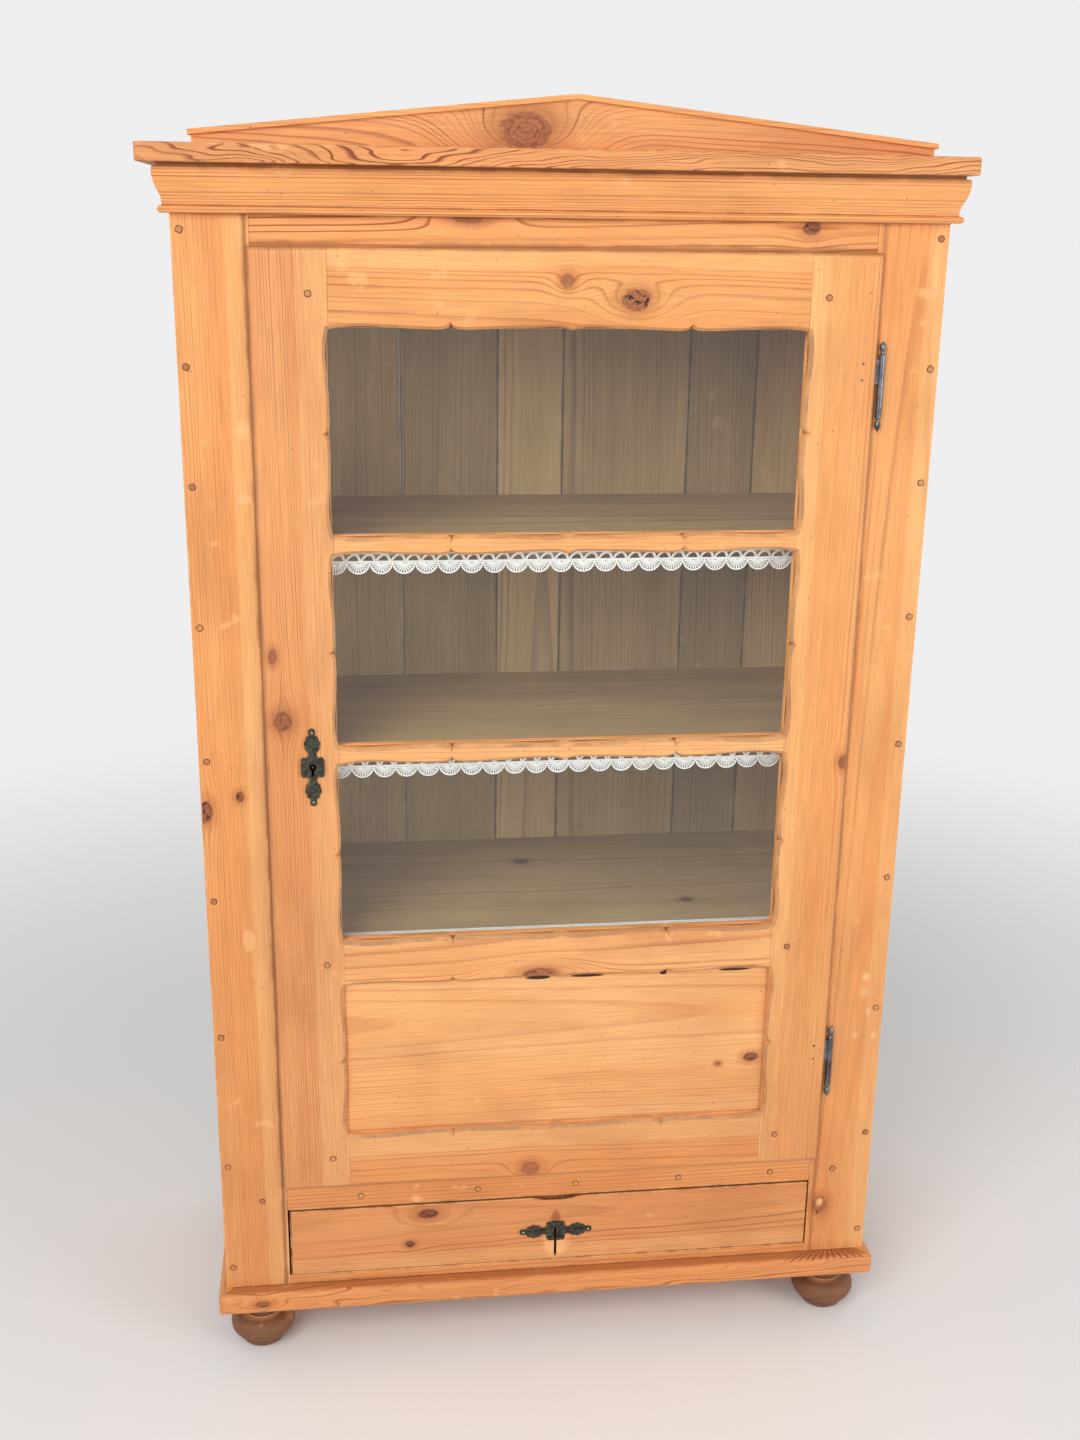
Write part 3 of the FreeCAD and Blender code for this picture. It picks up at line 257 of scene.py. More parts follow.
def makeKnotSwirl():
    tree, take, give = newGroup("knotSwirl", {
        "Vector": (0, 0, 0), "Lift": 0.0, "Centre": (0, 0, 0), "Radius": 0.01, "Stretch": 1.3, "Part": 0.9,
        "Swell": 0.0, "Tone": 0.15, "Rot": 0.3, "Streak": 0.0, "Mask": 0.0, "Shade": 0.0, "Halo": 0.0},
        {"Vector": 3, "Lift": 1, "Mask": 1, "Shade": 1, "Halo": 1})
    gap = vec(tree, "SUBTRACT", take["Vector"], take["Centre"])
    along, across, _ = parts(tree, gap)
    near = together(tree, calc(tree, "DIVIDE", along, times(tree, take["Stretch"], 2.4)),
                    calc(tree, "DIVIDE", across, 1.9), 0.0)
    far = calc(tree, "DIVIDE", length(tree, near), take["Radius"])
    push = calc(tree, "EXPONENT", times(tree, far, far, -1.0))
    moved = times(tree, across, push, take["Part"])
    feed(tree, give["Vector"], vec(tree, "SUBTRACT", take["Vector"], together(tree, 0.0, moved, 0.0)))
    feed(tree, give["Lift"], calc(tree, "MULTIPLY_ADD", push, take["Swell"], take["Lift"]))
    wobble = noise(tree, gap, (90.0, 120.0, 0.0), 4.0, 0.65)
    inner = together(tree, calc(tree, "DIVIDE", along, take["Stretch"]), across, 0.0)
    inside = calc(tree, "DIVIDE", length(tree, inner), take["Radius"])
    inside = calc(tree, "MULTIPLY_ADD", calc(tree, "SUBTRACT", wobble, 0.5), 0.8, inside)
    mask = ramp(tree, inside, 0.68, 1.12, 1.0, 0.0)
    curl = between(tree, calc(tree, "FRACT", times(tree, inside, 4.4)), (0.25, 0.8), (0.84, 1.0))
    rim = between(tree, inside, (0.55, 0.88), (0.92, 1.1))
    patch = ramp(tree, noise(tree, gap, (120.0, 170.0, 0.0), 3.0), 0.5, 0.62)
    shade = calc(tree, "MULTIPLY_ADD", curl, 0.34, take["Tone"])
    shade = calc(tree, "MULTIPLY_ADD", rim, 0.26, shade)
    shade = calc(tree, "MULTIPLY_ADD", patch, take["Rot"], shade, clamp=True)
    thin = together(tree, calc(tree, "DIVIDE", along, 6.0), calc(tree, "DIVIDE", across, 0.5), 0.0)
    streak = calc(tree, "DIVIDE", length(tree, thin), take["Radius"])
    streak = times(tree, ramp(tree, streak, 0.0, 1.0, 1.0, 0.0), take["Streak"])
    halo = calc(tree, "MAXIMUM", ramp(tree, inside, 0.9, 2.2, 0.4, 0.0), streak)
    feed(tree, give["Mask"], calc(tree, "MAXIMUM", mask, take["Mask"]))
    feed(tree, give["Shade"], calc(tree, "MAXIMUM", times(tree, shade, mask), take["Shade"]))
    feed(tree, give["Halo"], calc(tree, "MAXIMUM", halo, take["Halo"]))
    return tree


# Edge rub: on a board's box, the second smallest distance to its faces tells how near an edge is

def makeEdgeRub():
    tree, take, give = newGroup("edgeRub", {"Vector": (0, 0, 0), "Low": (0, 0, 0), "High": (1, 1, 1), "Width": 0.003},
                                {"Mask": 1})
    gap = vec(tree, "MINIMUM", vec(tree, "SUBTRACT", take["Vector"], take["Low"]),
              vec(tree, "SUBTRACT", take["High"], take["Vector"]))
    x, y, z = parts(tree, gap)
    second = calc(tree, "MAXIMUM", calc(tree, "MINIMUM", x, y), calc(tree, "MINIMUM", calc(tree, "MAXIMUM", x, y), z))
    patchy = noise(tree, take["Vector"], 55.0, 3.0)
    width = times(tree, take["Width"], ramp(tree, patchy, 0.35, 0.7, 0.1, 1.6))
    feed(tree, give["Mask"], calc(tree, "SUBTRACT", 1.0, ramp(tree, second, 0.0, width), clamp=True))
    return tree


# Age: worm holes as small scattered balls, short dark ticks across the grain, pale filled dents, slow stains

def makeAgeMarks():
    tree, take, give = newGroup("ageMarks", {"Vector": (0, 0, 0), "Seed": 0.0}, {"Hole": 1, "Pale": 1, "Stain": 1})
    spot = vec(tree, "ADD", take["Vector"], together(tree, take["Seed"], 0.0, take["Seed"]))
    cells = nodeWith(tree, "ShaderNodeTexVoronoi", Vector=spot, Scale=70.0).outputs
    chance = calc(tree, "GREATER_THAN", parts(tree, cells["Color"])[0], 0.4)
    holes = times(tree, ramp(tree, cells["Distance"], 0.04, 0.066, 1.0, 0.0), chance)
    strewn = vec(tree, "MULTIPLY", spot, (110.0, 16.0, 18.0))
    dashes = nodeWith(tree, "ShaderNodeTexVoronoi", Vector=strewn).outputs
    rare = calc(tree, "GREATER_THAN", parts(tree, dashes["Color"])[1], 0.8)
    ticks = times(tree, ramp(tree, dashes["Distance"], 0.05, 0.09, 1.0, 0.0), rare)
    feed(tree, give["Hole"], calc(tree, "MAXIMUM", holes, times(tree, ticks, 0.6)))
    dents = noise(tree, spot, (34.0, 34.0, 34.0))
    where = noise(tree, spot, 4.0, 1.0)
    feed(tree, give["Pale"], times(tree, ramp(tree, dents, 0.62, 0.74), ramp(tree, where, 0.52, 0.64)))
    feed(tree, give["Stain"], ramp(tree, noise(tree, spot, 6.0, 3.0), 0.45, 0.75))
    return tree


# Smudge: a soft ball, stretched by its size and broken at its rim

def makeSmudge():
    tree, take, give = newGroup("smudge", {"Vector": (0, 0, 0), "Centre": (0, 0, 0), "Size": (0.01, 0.01, 0.01),
                                           "Soft": 0.5}, {"Mask": 1})
    gap = vec(tree, "DIVIDE", vec(tree, "SUBTRACT", take["Vector"], take["Centre"]), take["Size"])
    rough = calc(tree, "SUBTRACT", noise(tree, take["Vector"], 160.0, 3.0), 0.5)
    away = calc(tree, "MULTIPLY_ADD", rough, take["Soft"], length(tree, gap))
    feed(tree, give["Mask"], ramp(tree, away, calc(tree, "SUBTRACT", 1.0, take["Soft"]), 1.0, 1.0, 0.0))
    return tree


# Grime and painted shade: a dark line along a level, wider in some places; dirt where two boards meet, and painted
# shade under overhangs, around the door's lip and in gaps

def makeJointDirtAndShade():
    tree, take, give = newGroup("jointDirtAndShade", {"Vector": (0, 0, 0), "Place": 0.0, "Level": 0.0, "Width": 0.005}, {"Mask": 1})
    patchy = noise(tree, take["Vector"], 26.0, 3.0)
    width = times(tree, take["Width"], ramp(tree, patchy, 0.3, 0.7, 0.5, 1.5))
    gap = calc(tree, "ABSOLUTE", calc(tree, "SUBTRACT", take["Place"], take["Level"]))
    near = calc(tree, "SUBTRACT", 1.0, ramp(tree, gap, 0.0, width), clamp=True)
    feed(tree, give["Mask"], times(tree, near, near))
    return tree


pineGrain = makePineGrain(grainLook)
knotSwirl = makeKnotSwirl()
edgeRub = makeEdgeRub()
ageMarks = makeAgeMarks()
smudge = makeSmudge()
jointDirtAndShade = makeJointDirtAndShade()
print("shared effects made")


# Wood finishes: what each board is cut from
honeyTones = {"honey": srgb(243, 164, 97), "pale": srgb(253, 190, 123), "line": srgb(166, 86, 42),
              "knot": srgb(190, 116, 74), "dark": srgb(58, 32, 24), "rubAndHighlight": srgb(252, 194, 131),
              "dirt": srgb(124, 66, 34), "dust": srgb(176, 134, 100), "filler": srgb(255, 216, 160),
              "stroke": srgb(138, 64, 56), "rough": 0.5}
insideTones = {"honey": srgb(176, 146, 100), "pale": srgb(202, 172, 122), "line": srgb(112, 86, 58),
               "knot": srgb(112, 82, 54), "dark": srgb(44, 34, 26), "rubAndHighlight": srgb(190, 165, 126),
               "dirt": srgb(70, 54, 40), "rough": 0.72}
# the feet's tones are painted darker, as shade for the base's shadow over them
footShadedTones = {"honey": srgb(138, 92, 62), "pale": srgb(160, 112, 78), "line": srgb(88, 54, 36), "dark": srgb(50, 30, 22),
             "rubAndHighlight": srgb(206, 148, 102), "dirt": srgb(70, 42, 28), "rough": 0.5}
paleTones = dict(honeyTones, honey=srgb(250, 178, 112), pale=srgb(255, 202, 140))
deepTones = dict(honeyTones, honey=srgb(234, 156, 95), pale=srgb(245, 178, 116), line=srgb(146, 74, 40))
grainOrder = {"x front": (0, 2, 1), "z front": (2, 0, 1), "z side": (2, 1, 0), "x flat": (0, 1, 2), "y side": (1, 2, 0)}
edgeWear = 0.0025  # metres over which a board's edges are rubbed pale


# Strokes: rings cut across on an upper face, in a fan from a hub, evenly spaced at one distance in front of it
def strokeMasks(tree, position, normal, strokes):
    x, y, _ = parts(tree, position)
    fan = times(tree, calc(tree, "SUBTRACT", x, strokes["hub"][0]), strokes["distance"])
    fan = calc(tree, "DIVIDE", fan, calc(tree, "SUBTRACT", strokes["hub"][1], y))
    sway = noise(tree, position, 45.0)
    saw = calc(tree, "FRACT", calc(tree, "MULTIPLY_ADD", sway, 0.9, calc(tree, "DIVIDE", fan, strokes["pitch"])))
    first, last = strokes["span"]
    return (between(tree, saw, (0.2, 0.5), (0.62, 0.76)), ramp(tree, fan, first, first + 0.012),
            ramp(tree, fan, last - 0.006, last, 1.0, 0.0),
            ramp(tree, calc(tree, "MULTIPLY_ADD", sway, 0.008, y), *strokes["front"]),
            ramp(tree, parts(tree, normal)[2], 0.4, 0.7))


def woodMaterial(name, low, high, tones, grain, ring, pith, wander, seed, bold=0.5, taper=0.008, sap=(1.0, 1.0),
                 knots=(), boards=(), smudges=(), dirty=(), dusty=0.0, paintedLowShade=0.28, strokes=None):
    material, tree = newMaterial(name)
    coords = addNode(tree, "ShaderNodeTexCoord").outputs
    position = coords["Object"]
    centre = (low + high) / 2
    order = grainOrder[grain]  # along, across and depth of the board
    shifted = parts(tree, vec(tree, "SUBTRACT", position, tuple(centre)))
    spot = together(tree, *(shifted[i] for i in order))
    seedValue = seed
    boardStep = None
    for edge in boards:  # boards side by side: each gets its own cut and tone
        passed = calc(tree, "GREATER_THAN", shifted[order[1]], edge)
        boardStep = passed if boardStep is None else calc(tree, "ADD", boardStep, passed)
    if boardStep is not None:
        seedValue = calc(tree, "MULTIPLY_ADD", boardStep, 3.71, seed)
    state = {"Vector": spot, "Lift": 0.0, "Mask": 0.0, "Shade": 0.0, "Halo": 0.0}
    for knot in knots:
        local = Vector(knot["at"]) - centre
        given = {key.title(): value for key, value in knot.items() if key != "at"}
        out = place(tree, knotSwirl, Centre=tuple(local[i] for i in order), **given, **state)
        state = {key: out[key] for key in state}
    pine = place(tree, pineGrain, Vector=state["Vector"], Lift=state["Lift"], Ring=ring, Pith_Across=pith[0],
                 Pith_Depth=pith[1], Taper=taper, Wander=wander, Bold=bold, Sap_Edge=sap[0], Sap_Side=sap[1],
                 Seed=seedValue, Honey=tones["honey"], Pale=tones["pale"], Line=tones["line"])
    color = pine["Color"]
    height = pine["Height"]
    if boardStep is not None:
        tint = ramp(tree, calc(tree, "FRACT", times(tree, boardStep, 0.618)), 0.0, 1.0, 0.74, 1.12)
        color = vec(tree, "MULTIPLY", color, together(tree, tint, tint, tint))
    if knots:
        color = blend(tree, state["Halo"], color, tones["line"])
        color = blend(tree, state["Mask"], color, blend(tree, state["Shade"], tones["knot"], tones["dark"]))
        height = calc(tree, "SUBTRACT", height, times(tree, state["Shade"], 0.8))
    # painted shade: the colour darkens towards the floor, standing in for the light falling off downwards
    deep = ramp(tree, parts(tree, position)[2], 0.15, 1.25, paintedLowShade, 0.0)  # darker towards the floor
    color = blend(tree, deep, color, tones["line"])
    marks = place(tree, ageMarks, Vector=position, Seed=seed)
    color = lay(tree, color, tones["line"], marks["Stain"], 0.14)
    color = lay(tree, color, tones["rubAndHighlight"], marks["Pale"], 0.5)
    for tone, strength, at, size, *soft in smudges:
        mask = place(tree, smudge, Vector=position, Centre=at, Size=size, Soft=soft[0] if soft else 0.5)["Mask"]
        color = lay(tree, color, tones[tone], mask, strength)
    # dark lines: dirt at the joints, and painted shade under overhangs, beside the door's lip and in gaps
    for axis, level, width, strength, *tone in dirty:
        mask = place(tree, jointDirtAndShade, Vector=position, Place=parts(tree, position)[axis], Level=level, Width=width)["Mask"]
        color = lay(tree, color, tones[tone[0] if tone else "dirt"], mask, strength)
    if strokes:
        color = lay(tree, color, tones["stroke"], *strokeMasks(tree, position, coords["Normal"], strokes), 0.85)
    worn = place(tree, edgeRub, Vector=position, Low=tuple(low), High=tuple(high), Width=edgeWear)["Mask"]
    color = lay(tree, color, tones["rubAndHighlight"], worn, 0.5)
    if dusty:  # slanted faces, such as the chamfers, hold grey dust
        slant = calc(tree, "ABSOLUTE", parts(tree, coords["Normal"])[1])
        patchy = ramp(tree, noise(tree, position, 40.0, 3.0), 0.35, 0.65, 0.35, 1.0)
        color = lay(tree, color, tones["dust"], between(tree, slant, (0.45, 0.6), (0.8, 0.92)), patchy, dusty)
    color = lay(tree, color, tones["dark"], marks["Hole"], 0.85)
    height = calc(tree, "SUBTRACT", height, times(tree, marks["Hole"], 3.0))
    shader = nodeWith(tree, "ShaderNodeBsdfPrincipled", Base_Color=color, Specular_IOR_Level=0.35,
                      Roughness=ramp(tree, pine["Late"], 0.0, 1.0, tones["rough"] + 0.06, tones["rough"] - 0.08),
                      Normal=relief(tree, height, 0.0006, 0.35))
    surface(tree, shader.outputs[0])
    return material


def dress(name, material):
    for slot in nodes[name].material_slots:
        slot.material = material


def dressBoard(name, tones=honeyTones, **cut):
    low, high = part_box(name)
    dress(name, woodMaterial(name + "Wood", low, high, tones, **cut))


doorBox = {"left": -0.376, "right": 0.379, "low": 0.266, "high": 1.511}
corniceLow, corniceHigh = 1.546, 1.600
baseTop = 0.108
railJoints = [(0, -0.285, 0.0012, 0.9), (0, 0.291, 0.0012, 0.9)]  # where the door's rails meet its stiles
stileJoints = [(0, -0.372, 0.0012, 0.9), (0, 0.372, 0.0012, 0.9)]  # where the carcass rails meet the face stiles
barCut = dict(tones=paleTones, paintedLowShade=0.1, grain="x front", ring=0.005, wander=0.006, dusty=0.6, dirty=railJoints)
# the wide dark line at the cornice's top is painted shadow under the top board's overhang
corniceSide = dict(grain="y side", ring=0.0034, pith=(0.16, 0.05), wander=0.003, bold=0.6, taper=0.003,
                   dirty=[(2, corniceHigh, 0.010, 0.7)])
# One entry for each board, in metres: sap is its border and side; a knot's radius is across the grain;
# a smudge is tone, strength, centre, half sizes and, if not 0.5, softness;
# a dark line is axis, place, width, strength and, if not the dirt-and-shade tone, tone; it is dirt at a joint, and
# painted shade under overhangs, around the door and in gaps
frontBoards = {
    "face_stile_left": dict(
        grain="z front", ring=0.0032, pith=(-0.09, 0.04), wander=0.008, bold=0.65, sap=(0.014, 1), seed=1.3,
        knots=[dict(at=(-0.411, -0.18, 0.840), radius=0.006, tone=0.35, rot=0.6),
               dict(at=(-0.4545, -0.18, 0.821), radius=0.010, stretch=1.7, tone=0.3, rot=0.7)],
        smudges=[("rubAndHighlight", 0.7, (-0.388, -0.18, 1.302), (0.011, 0.02, 0.014)),
                 ("rubAndHighlight", 0.7, (-0.389, -0.18, 1.219), (0.009, 0.02, 0.008)),
                 ("rubAndHighlight", 0.5, (-0.408, -0.18, 0.64), (0.010, 0.02, 0.02))],
        # the line beside the door is painted shadow of the door's lip
        dirty=[(0, doorBox["left"] - 0.001, 0.006, 0.7), (2, corniceLow, 0.004, 0.4)]),
    "face_stile_right": dict(
        grain="z front", ring=0.0034, pith=(0.02, 0.12), wander=0.008, bold=0.45, sap=(0.020, 1), seed=7.9,
        knots=[dict(at=(0.390, -0.18, 0.186), radius=0.012, tone=0.05, rot=0.25)],
        smudges=[("rubAndHighlight", 0.5, (0.447, -0.18, 1.50), (0.005, 0.02, 0.05)),
                 ("rubAndHighlight", 0.75, (0.390, -0.18, 0.190), (0.007, 0.02, 0.010), 0.8),
                 ("dark", 0.7, (0.3876, -0.18, 0.173), (0.0025, 0.02, 0.004), 0.6),
                 ("filler", 0.45, (0.432, -0.18, 0.5484), (0.008, 0.02, 0.009), 0.8),
                 ("filler", 0.25, (0.431, -0.18, 0.5254), (0.010, 0.02, 0.013), 0.8),
                 ("filler", 0.25, (0.439, -0.18, 0.4956), (0.006, 0.02, 0.010), 0.8),
                 ("filler", 0.25, (0.423, -0.18, 0.4589), (0.008, 0.02, 0.006), 0.8),
                 ("filler", 0.4, (0.450, -0.18, 0.4574), (0.006, 0.02, 0.009), 0.8)],
        # the line beside the door is painted shadow of the door's lip
        dirty=[(0, doorBox["right"] + 0.001, 0.006, 0.45), (2, corniceLow, 0.006, 0.4)]),
    "door_stile_lock": dict(
        tones=deepTones, paintedLowShade=0.18, grain="z front", ring=0.0033, pith=(-0.10, 0.03), wander=0.007, bold=0.65,
        sap=(0.0075, 1), seed=3.1, dusty=0.75,
        knots=[dict(at=(-0.353, -0.19, 0.942), radius=0.013, stretch=1.15, tone=0.18, rot=0.3, streak=0.35),
               dict(at=(-0.363, -0.19, 1.026), radius=0.006, stretch=1.8, tone=0.1, rot=0.1)],
        # the dark smudge is painted shade inside the keyhole
        smudges=[("dark", 1.0, (-0.318, -0.176, 0.879), (0.0075, 0.02, 0.017), 0.2)],
        # the lines along the door's edges are dirt and painted shade at the door's lip
        dirty=[(0, doorBox["left"], 0.005, 0.55), (2, doorBox["high"], 0.004, 0.5)]),
    "door_stile_hinge": dict(
        grain="z front", ring=0.0035, pith=(0.11, 0.03), wander=0.007, sap=(-0.02, -1), seed=5.7, dusty=0.75,
        knots=[dict(at=(0.373, -0.19, 0.869), radius=0.008, tone=0.15, rot=0.2, streak=0.3)],
        # the lines along the door's edges are dirt and painted shade at the door's lip
        dirty=[(0, doorBox["right"], 0.004, 0.4), (2, doorBox["high"], 0.004, 0.5)]),
    "frieze_rail": dict(
        grain="x front", ring=0.0036, pith=(0.03, 0.09), wander=0.012, bold=1.05, seed=2.2, taper=0.012,
        knots=[dict(at=(0.289, -0.18, 1.539), radius=0.0095, tone=0.35, rot=0.6, streak=0.9),
               dict(at=(-0.118, -0.18, 1.546), radius=0.008, stretch=2.6, tone=0.1, rot=0.1, swell=0.012)],
        # the band just above the door is dirt and painted shade from the door's lip
        dirty=[(2, doorBox["high"] + 0.002, 0.008, 0.6), (2, corniceLow, 0.006, 0.5)] + stileJoints),
    "cornice_front": dict(
        grain="x front", ring=0.0038, pith=(0.16, 0.05), wander=0.004, bold=1.1, seed=4.4, taper=0.003,
        # the wide dark line at the top is painted shadow under the top board; the thin one is painted shade in the
        # moulding's quirk
        dirty=[(2, corniceHigh, 0.010, 0.7), (2, 1.5545, 0.002, 0.7)]),
    "top_board": dict(
        tones=deepTones, grain="x flat", ring=0.0046, pith=(-0.30, -0.09), wander=0.17, bold=1.35, seed=6.1, taper=0.0,
        dirty=[(2, corniceHigh, 0.002, 0.5)]),
    "pediment_board": dict(
        tones=deepTones, grain="x front", ring=0.0038, pith=(-0.05, 0.05), wander=0.022, bold=0.9, seed=8.3, taper=0.03,
        knots=[dict(at=(-0.054, -0.182, 1.641), radius=0.0225, stretch=1.45, tone=0.12, rot=0.22, part=0.6,
                    swell=0.045)],
        dirty=[(2, 1.621, 0.003, 0.4)]),
    "door_top_rail": dict(
        grain="x front", ring=0.005, pith=(-0.06, 0.06), wander=0.016, bold=0.7, sap=(0.024, 1), seed=9.6,
        taper=0.014, dusty=0.35,
        knots=[dict(at=(-0.004, -0.19, 1.476), radius=0.009, stretch=1.0, tone=0.05, rot=0.1, swell=0.008),
               dict(at=(0.079, -0.19, 1.455), radius=0.014, stretch=1.4, tone=0.1, rot=0.95, swell=0.022)],
        # the line at the door's top edge is dirt and painted shade at the door's lip
        dirty=[(2, doorBox["high"], 0.004, 0.5)] + railJoints),
    "door_bar_upper": dict(barCut, pith=(-0.05, 0.03), bold=0.35, seed=1.9),
    "door_bar_lower": dict(barCut, pith=(-0.04, 0.03), bold=0.4, seed=3.9),
    "door_mid_rail": dict(
        tones=paleTones, paintedLowShade=0.12, grain="x front", ring=0.0055, pith=(0.03, 0.05), wander=0.018, bold=0.7, seed=5.2,
        taper=0.014, dusty=0.85,
        knots=[dict(at=(-0.025, -0.19, 0.580), radius=0.010, stretch=2.6, tone=0.1, rot=0.5, swell=0.03)],
        dirty=railJoints),
    "door_panel": dict(
        tones=paleTones, paintedLowShade=0.12, grain="x front", ring=0.0031, pith=(0.05, 0.16), wander=0.016, bold=0.45,
        seed=11.4,
        knots=[dict(at=(0.274, -0.18, 0.433), radius=0.008, stretch=1.5, tone=0.35, rot=0.4),
               dict(at=(0.228, -0.18, 0.425), radius=0.004, tone=0.05, rot=0.0)],
        smudges=[("line", 0.16, (0.05, -0.18, 0.415), (0.12, 0.02, 0.013), 0.7),
                 # the dark smudges under the middle rail are painted shade, standing in for gaps at the rail's lower
                 # edge
                 ("dark", 1.0, (-0.026, -0.18, 0.5695), (0.020, 0.01, 0.0034), 0.3),
                 ("dark", 1.0, (0.041, -0.18, 0.5695), (0.027, 0.01, 0.0026), 0.3),
                 ("dark", 1.0, (0.145, -0.18, 0.5695), (0.006, 0.01, 0.0042), 0.3),
                 ("dark", 1.0, (0.244, -0.18, 0.5695), (0.026, 0.01, 0.0024), 0.3)],
        # the dark lines at the panel's edges are dirt and painted shade where the rails meet it
        dirty=[(2, 0.349, 0.004, 0.4), (2, 0.572, 0.004, 0.5), (0, -0.285, 0.003, 0.4), (0, 0.291, 0.003, 0.4)]),
    "door_bottom_rail": dict(
        grain="x front", ring=0.0045, pith=(-0.05, 0.05), wander=0.012, sap=(0.006, 1), seed=12.7, dusty=0.9,
        knots=[dict(at=(-0.035, -0.19, 0.281), radius=0.012, stretch=1.2, tone=0.0, rot=0.15, swell=0.01)],
        dirty=railJoints + [(2, doorBox["low"], 0.003, 0.4)]),
    "drawer_front": dict(
        tones=deepTones, paintedLowShade=0.2, grain="x front", ring=0.0052, pith=(0.03, 0.07), wander=0.024, bold=0.6,
        sap=(-0.026, -1), seed=14.2, taper=0.012,
        knots=[dict(at=(-0.177, -0.18, 0.209), radius=0.0085, stretch=1.9, tone=0.5, rot=0.5, swell=0.012),
               dict(at=(-0.203, -0.18, 0.161), radius=0.006, tone=0.5, rot=0.6)],
        smudges=[("rubAndHighlight", 0.6, (0.004, -0.18, 0.150), (0.022, 0.004, 0.03)),
                 ("line", 0.7, (0.004, -0.18, 0.190), (0.008, 0.01, 0.016)),
                 # painted shade: dark inside the keyhole, in the hollow above the lock and in the wide gap at the
                 # drawer's left, where no gap is cut
                 ("dark", 1.0, (0.004, -0.166, 0.150), (0.006, 0.012, 0.045), 0.2),
                 ("dark", 0.95, (0.004, -0.18, 0.2245), (0.036, 0.014, 0.0055), 0.4),
                 ("dark", 0.95, (-0.3695, -0.18, 0.175), (0.0024, 0.03, 0.075), 0.3)],
        # the dark lines at the drawer's edges are dirt and painted shade in the gaps around it
        dirty=[(0, -0.3695, 0.003, 0.8), (0, 0.3695, 0.0015, 0.6), (2, 0.2245, 0.002, 0.6), (2, 0.123, 0.002, 0.5)]),
    "drawer_rail": dict(
        grain="x front", ring=0.0042, pith=(0.07, 0.05), wander=0.006, bold=0.6, seed=15.5,
        # the lines under the door and at the drawer's top gap are dirt and painted shade
        dirty=[(2, doorBox["low"] - 0.001, 0.004, 0.5), (2, 0.2275, 0.0025, 0.7)] + stileJoints),
    "bottom_board": dict(grain="x flat", ring=0.006, pith=(0.0, 0.14), wander=0.03, bold=0.6, seed=32.0,
                         dirty=[(2, baseTop, 0.003, 0.5), (2, 0.122, 0.003, 0.5)]),
    "base_front": dict(
        grain="x front", ring=0.0055, pith=(0.08, -0.08), wander=0.13, bold=1.0, seed=16.8, taper=0.0,
        knots=[dict(at=(-0.41, -0.202, 0.093), radius=0.006, stretch=2.0, tone=0.2, rot=0.5, swell=0.003)],
        dirty=[(2, baseTop, 0.003, 0.4), (1, -0.180, 0.003, 0.6)],
        strokes=dict(hub=(0.412, -0.160), distance=0.027, pitch=0.0073, span=(-0.058, 0.036),
                     front=(-0.1965, -0.1925))),
    "base_left": dict(grain="y side", ring=0.007, pith=(0.01, -0.02), wander=0.03, bold=0.6, seed=17.4, taper=0.02),
    "base_right": dict(grain="y side", ring=0.007, pith=(0.01, 0.02), wander=0.03, bold=0.6, seed=18.9, taper=0.02),
    "cornice_left": dict(corniceSide, seed=19.4),
    "cornice_right": dict(corniceSide, seed=20.7),
    "side_left": dict(
        grain="z side", ring=0.007, pith=(0.03, 0.12), wander=0.03, bold=0.6, seed=21.3, taper=0.015,
        knots=[dict(at=(-0.46, 0.05, 1.21), radius=0.013, tone=0.2, rot=0.4, swell=0.01),
               dict(at=(-0.46, -0.07, 0.52), radius=0.010, tone=0.1, rot=0.3)]),
    "side_right": dict(
        grain="z side", ring=0.007, pith=(-0.02, 0.12), wander=0.03, bold=0.6, seed=23.8, taper=0.015,
        knots=[dict(at=(0.46, 0.02, 1.02), radius=0.012, tone=0.2, rot=0.4, swell=0.01),
               dict(at=(0.46, 0.10, 0.42), radius=0.015, tone=0.1, rot=0.3)]),
    "pediment_rakes": dict(grain="x front", ring=0.005, pith=(-0.08, 0.03), wander=0.008, seed=25.1,
                           dirty=[(1, -0.182, 0.002, 0.5)]),
    "glazing_beads": dict(grain="x front", ring=0.006, pith=(-0.06, 0.03), wander=0.006, bold=0.4, seed=26.6),
}
for name, cut in frontBoards.items():
    dressBoard(name, **cut)

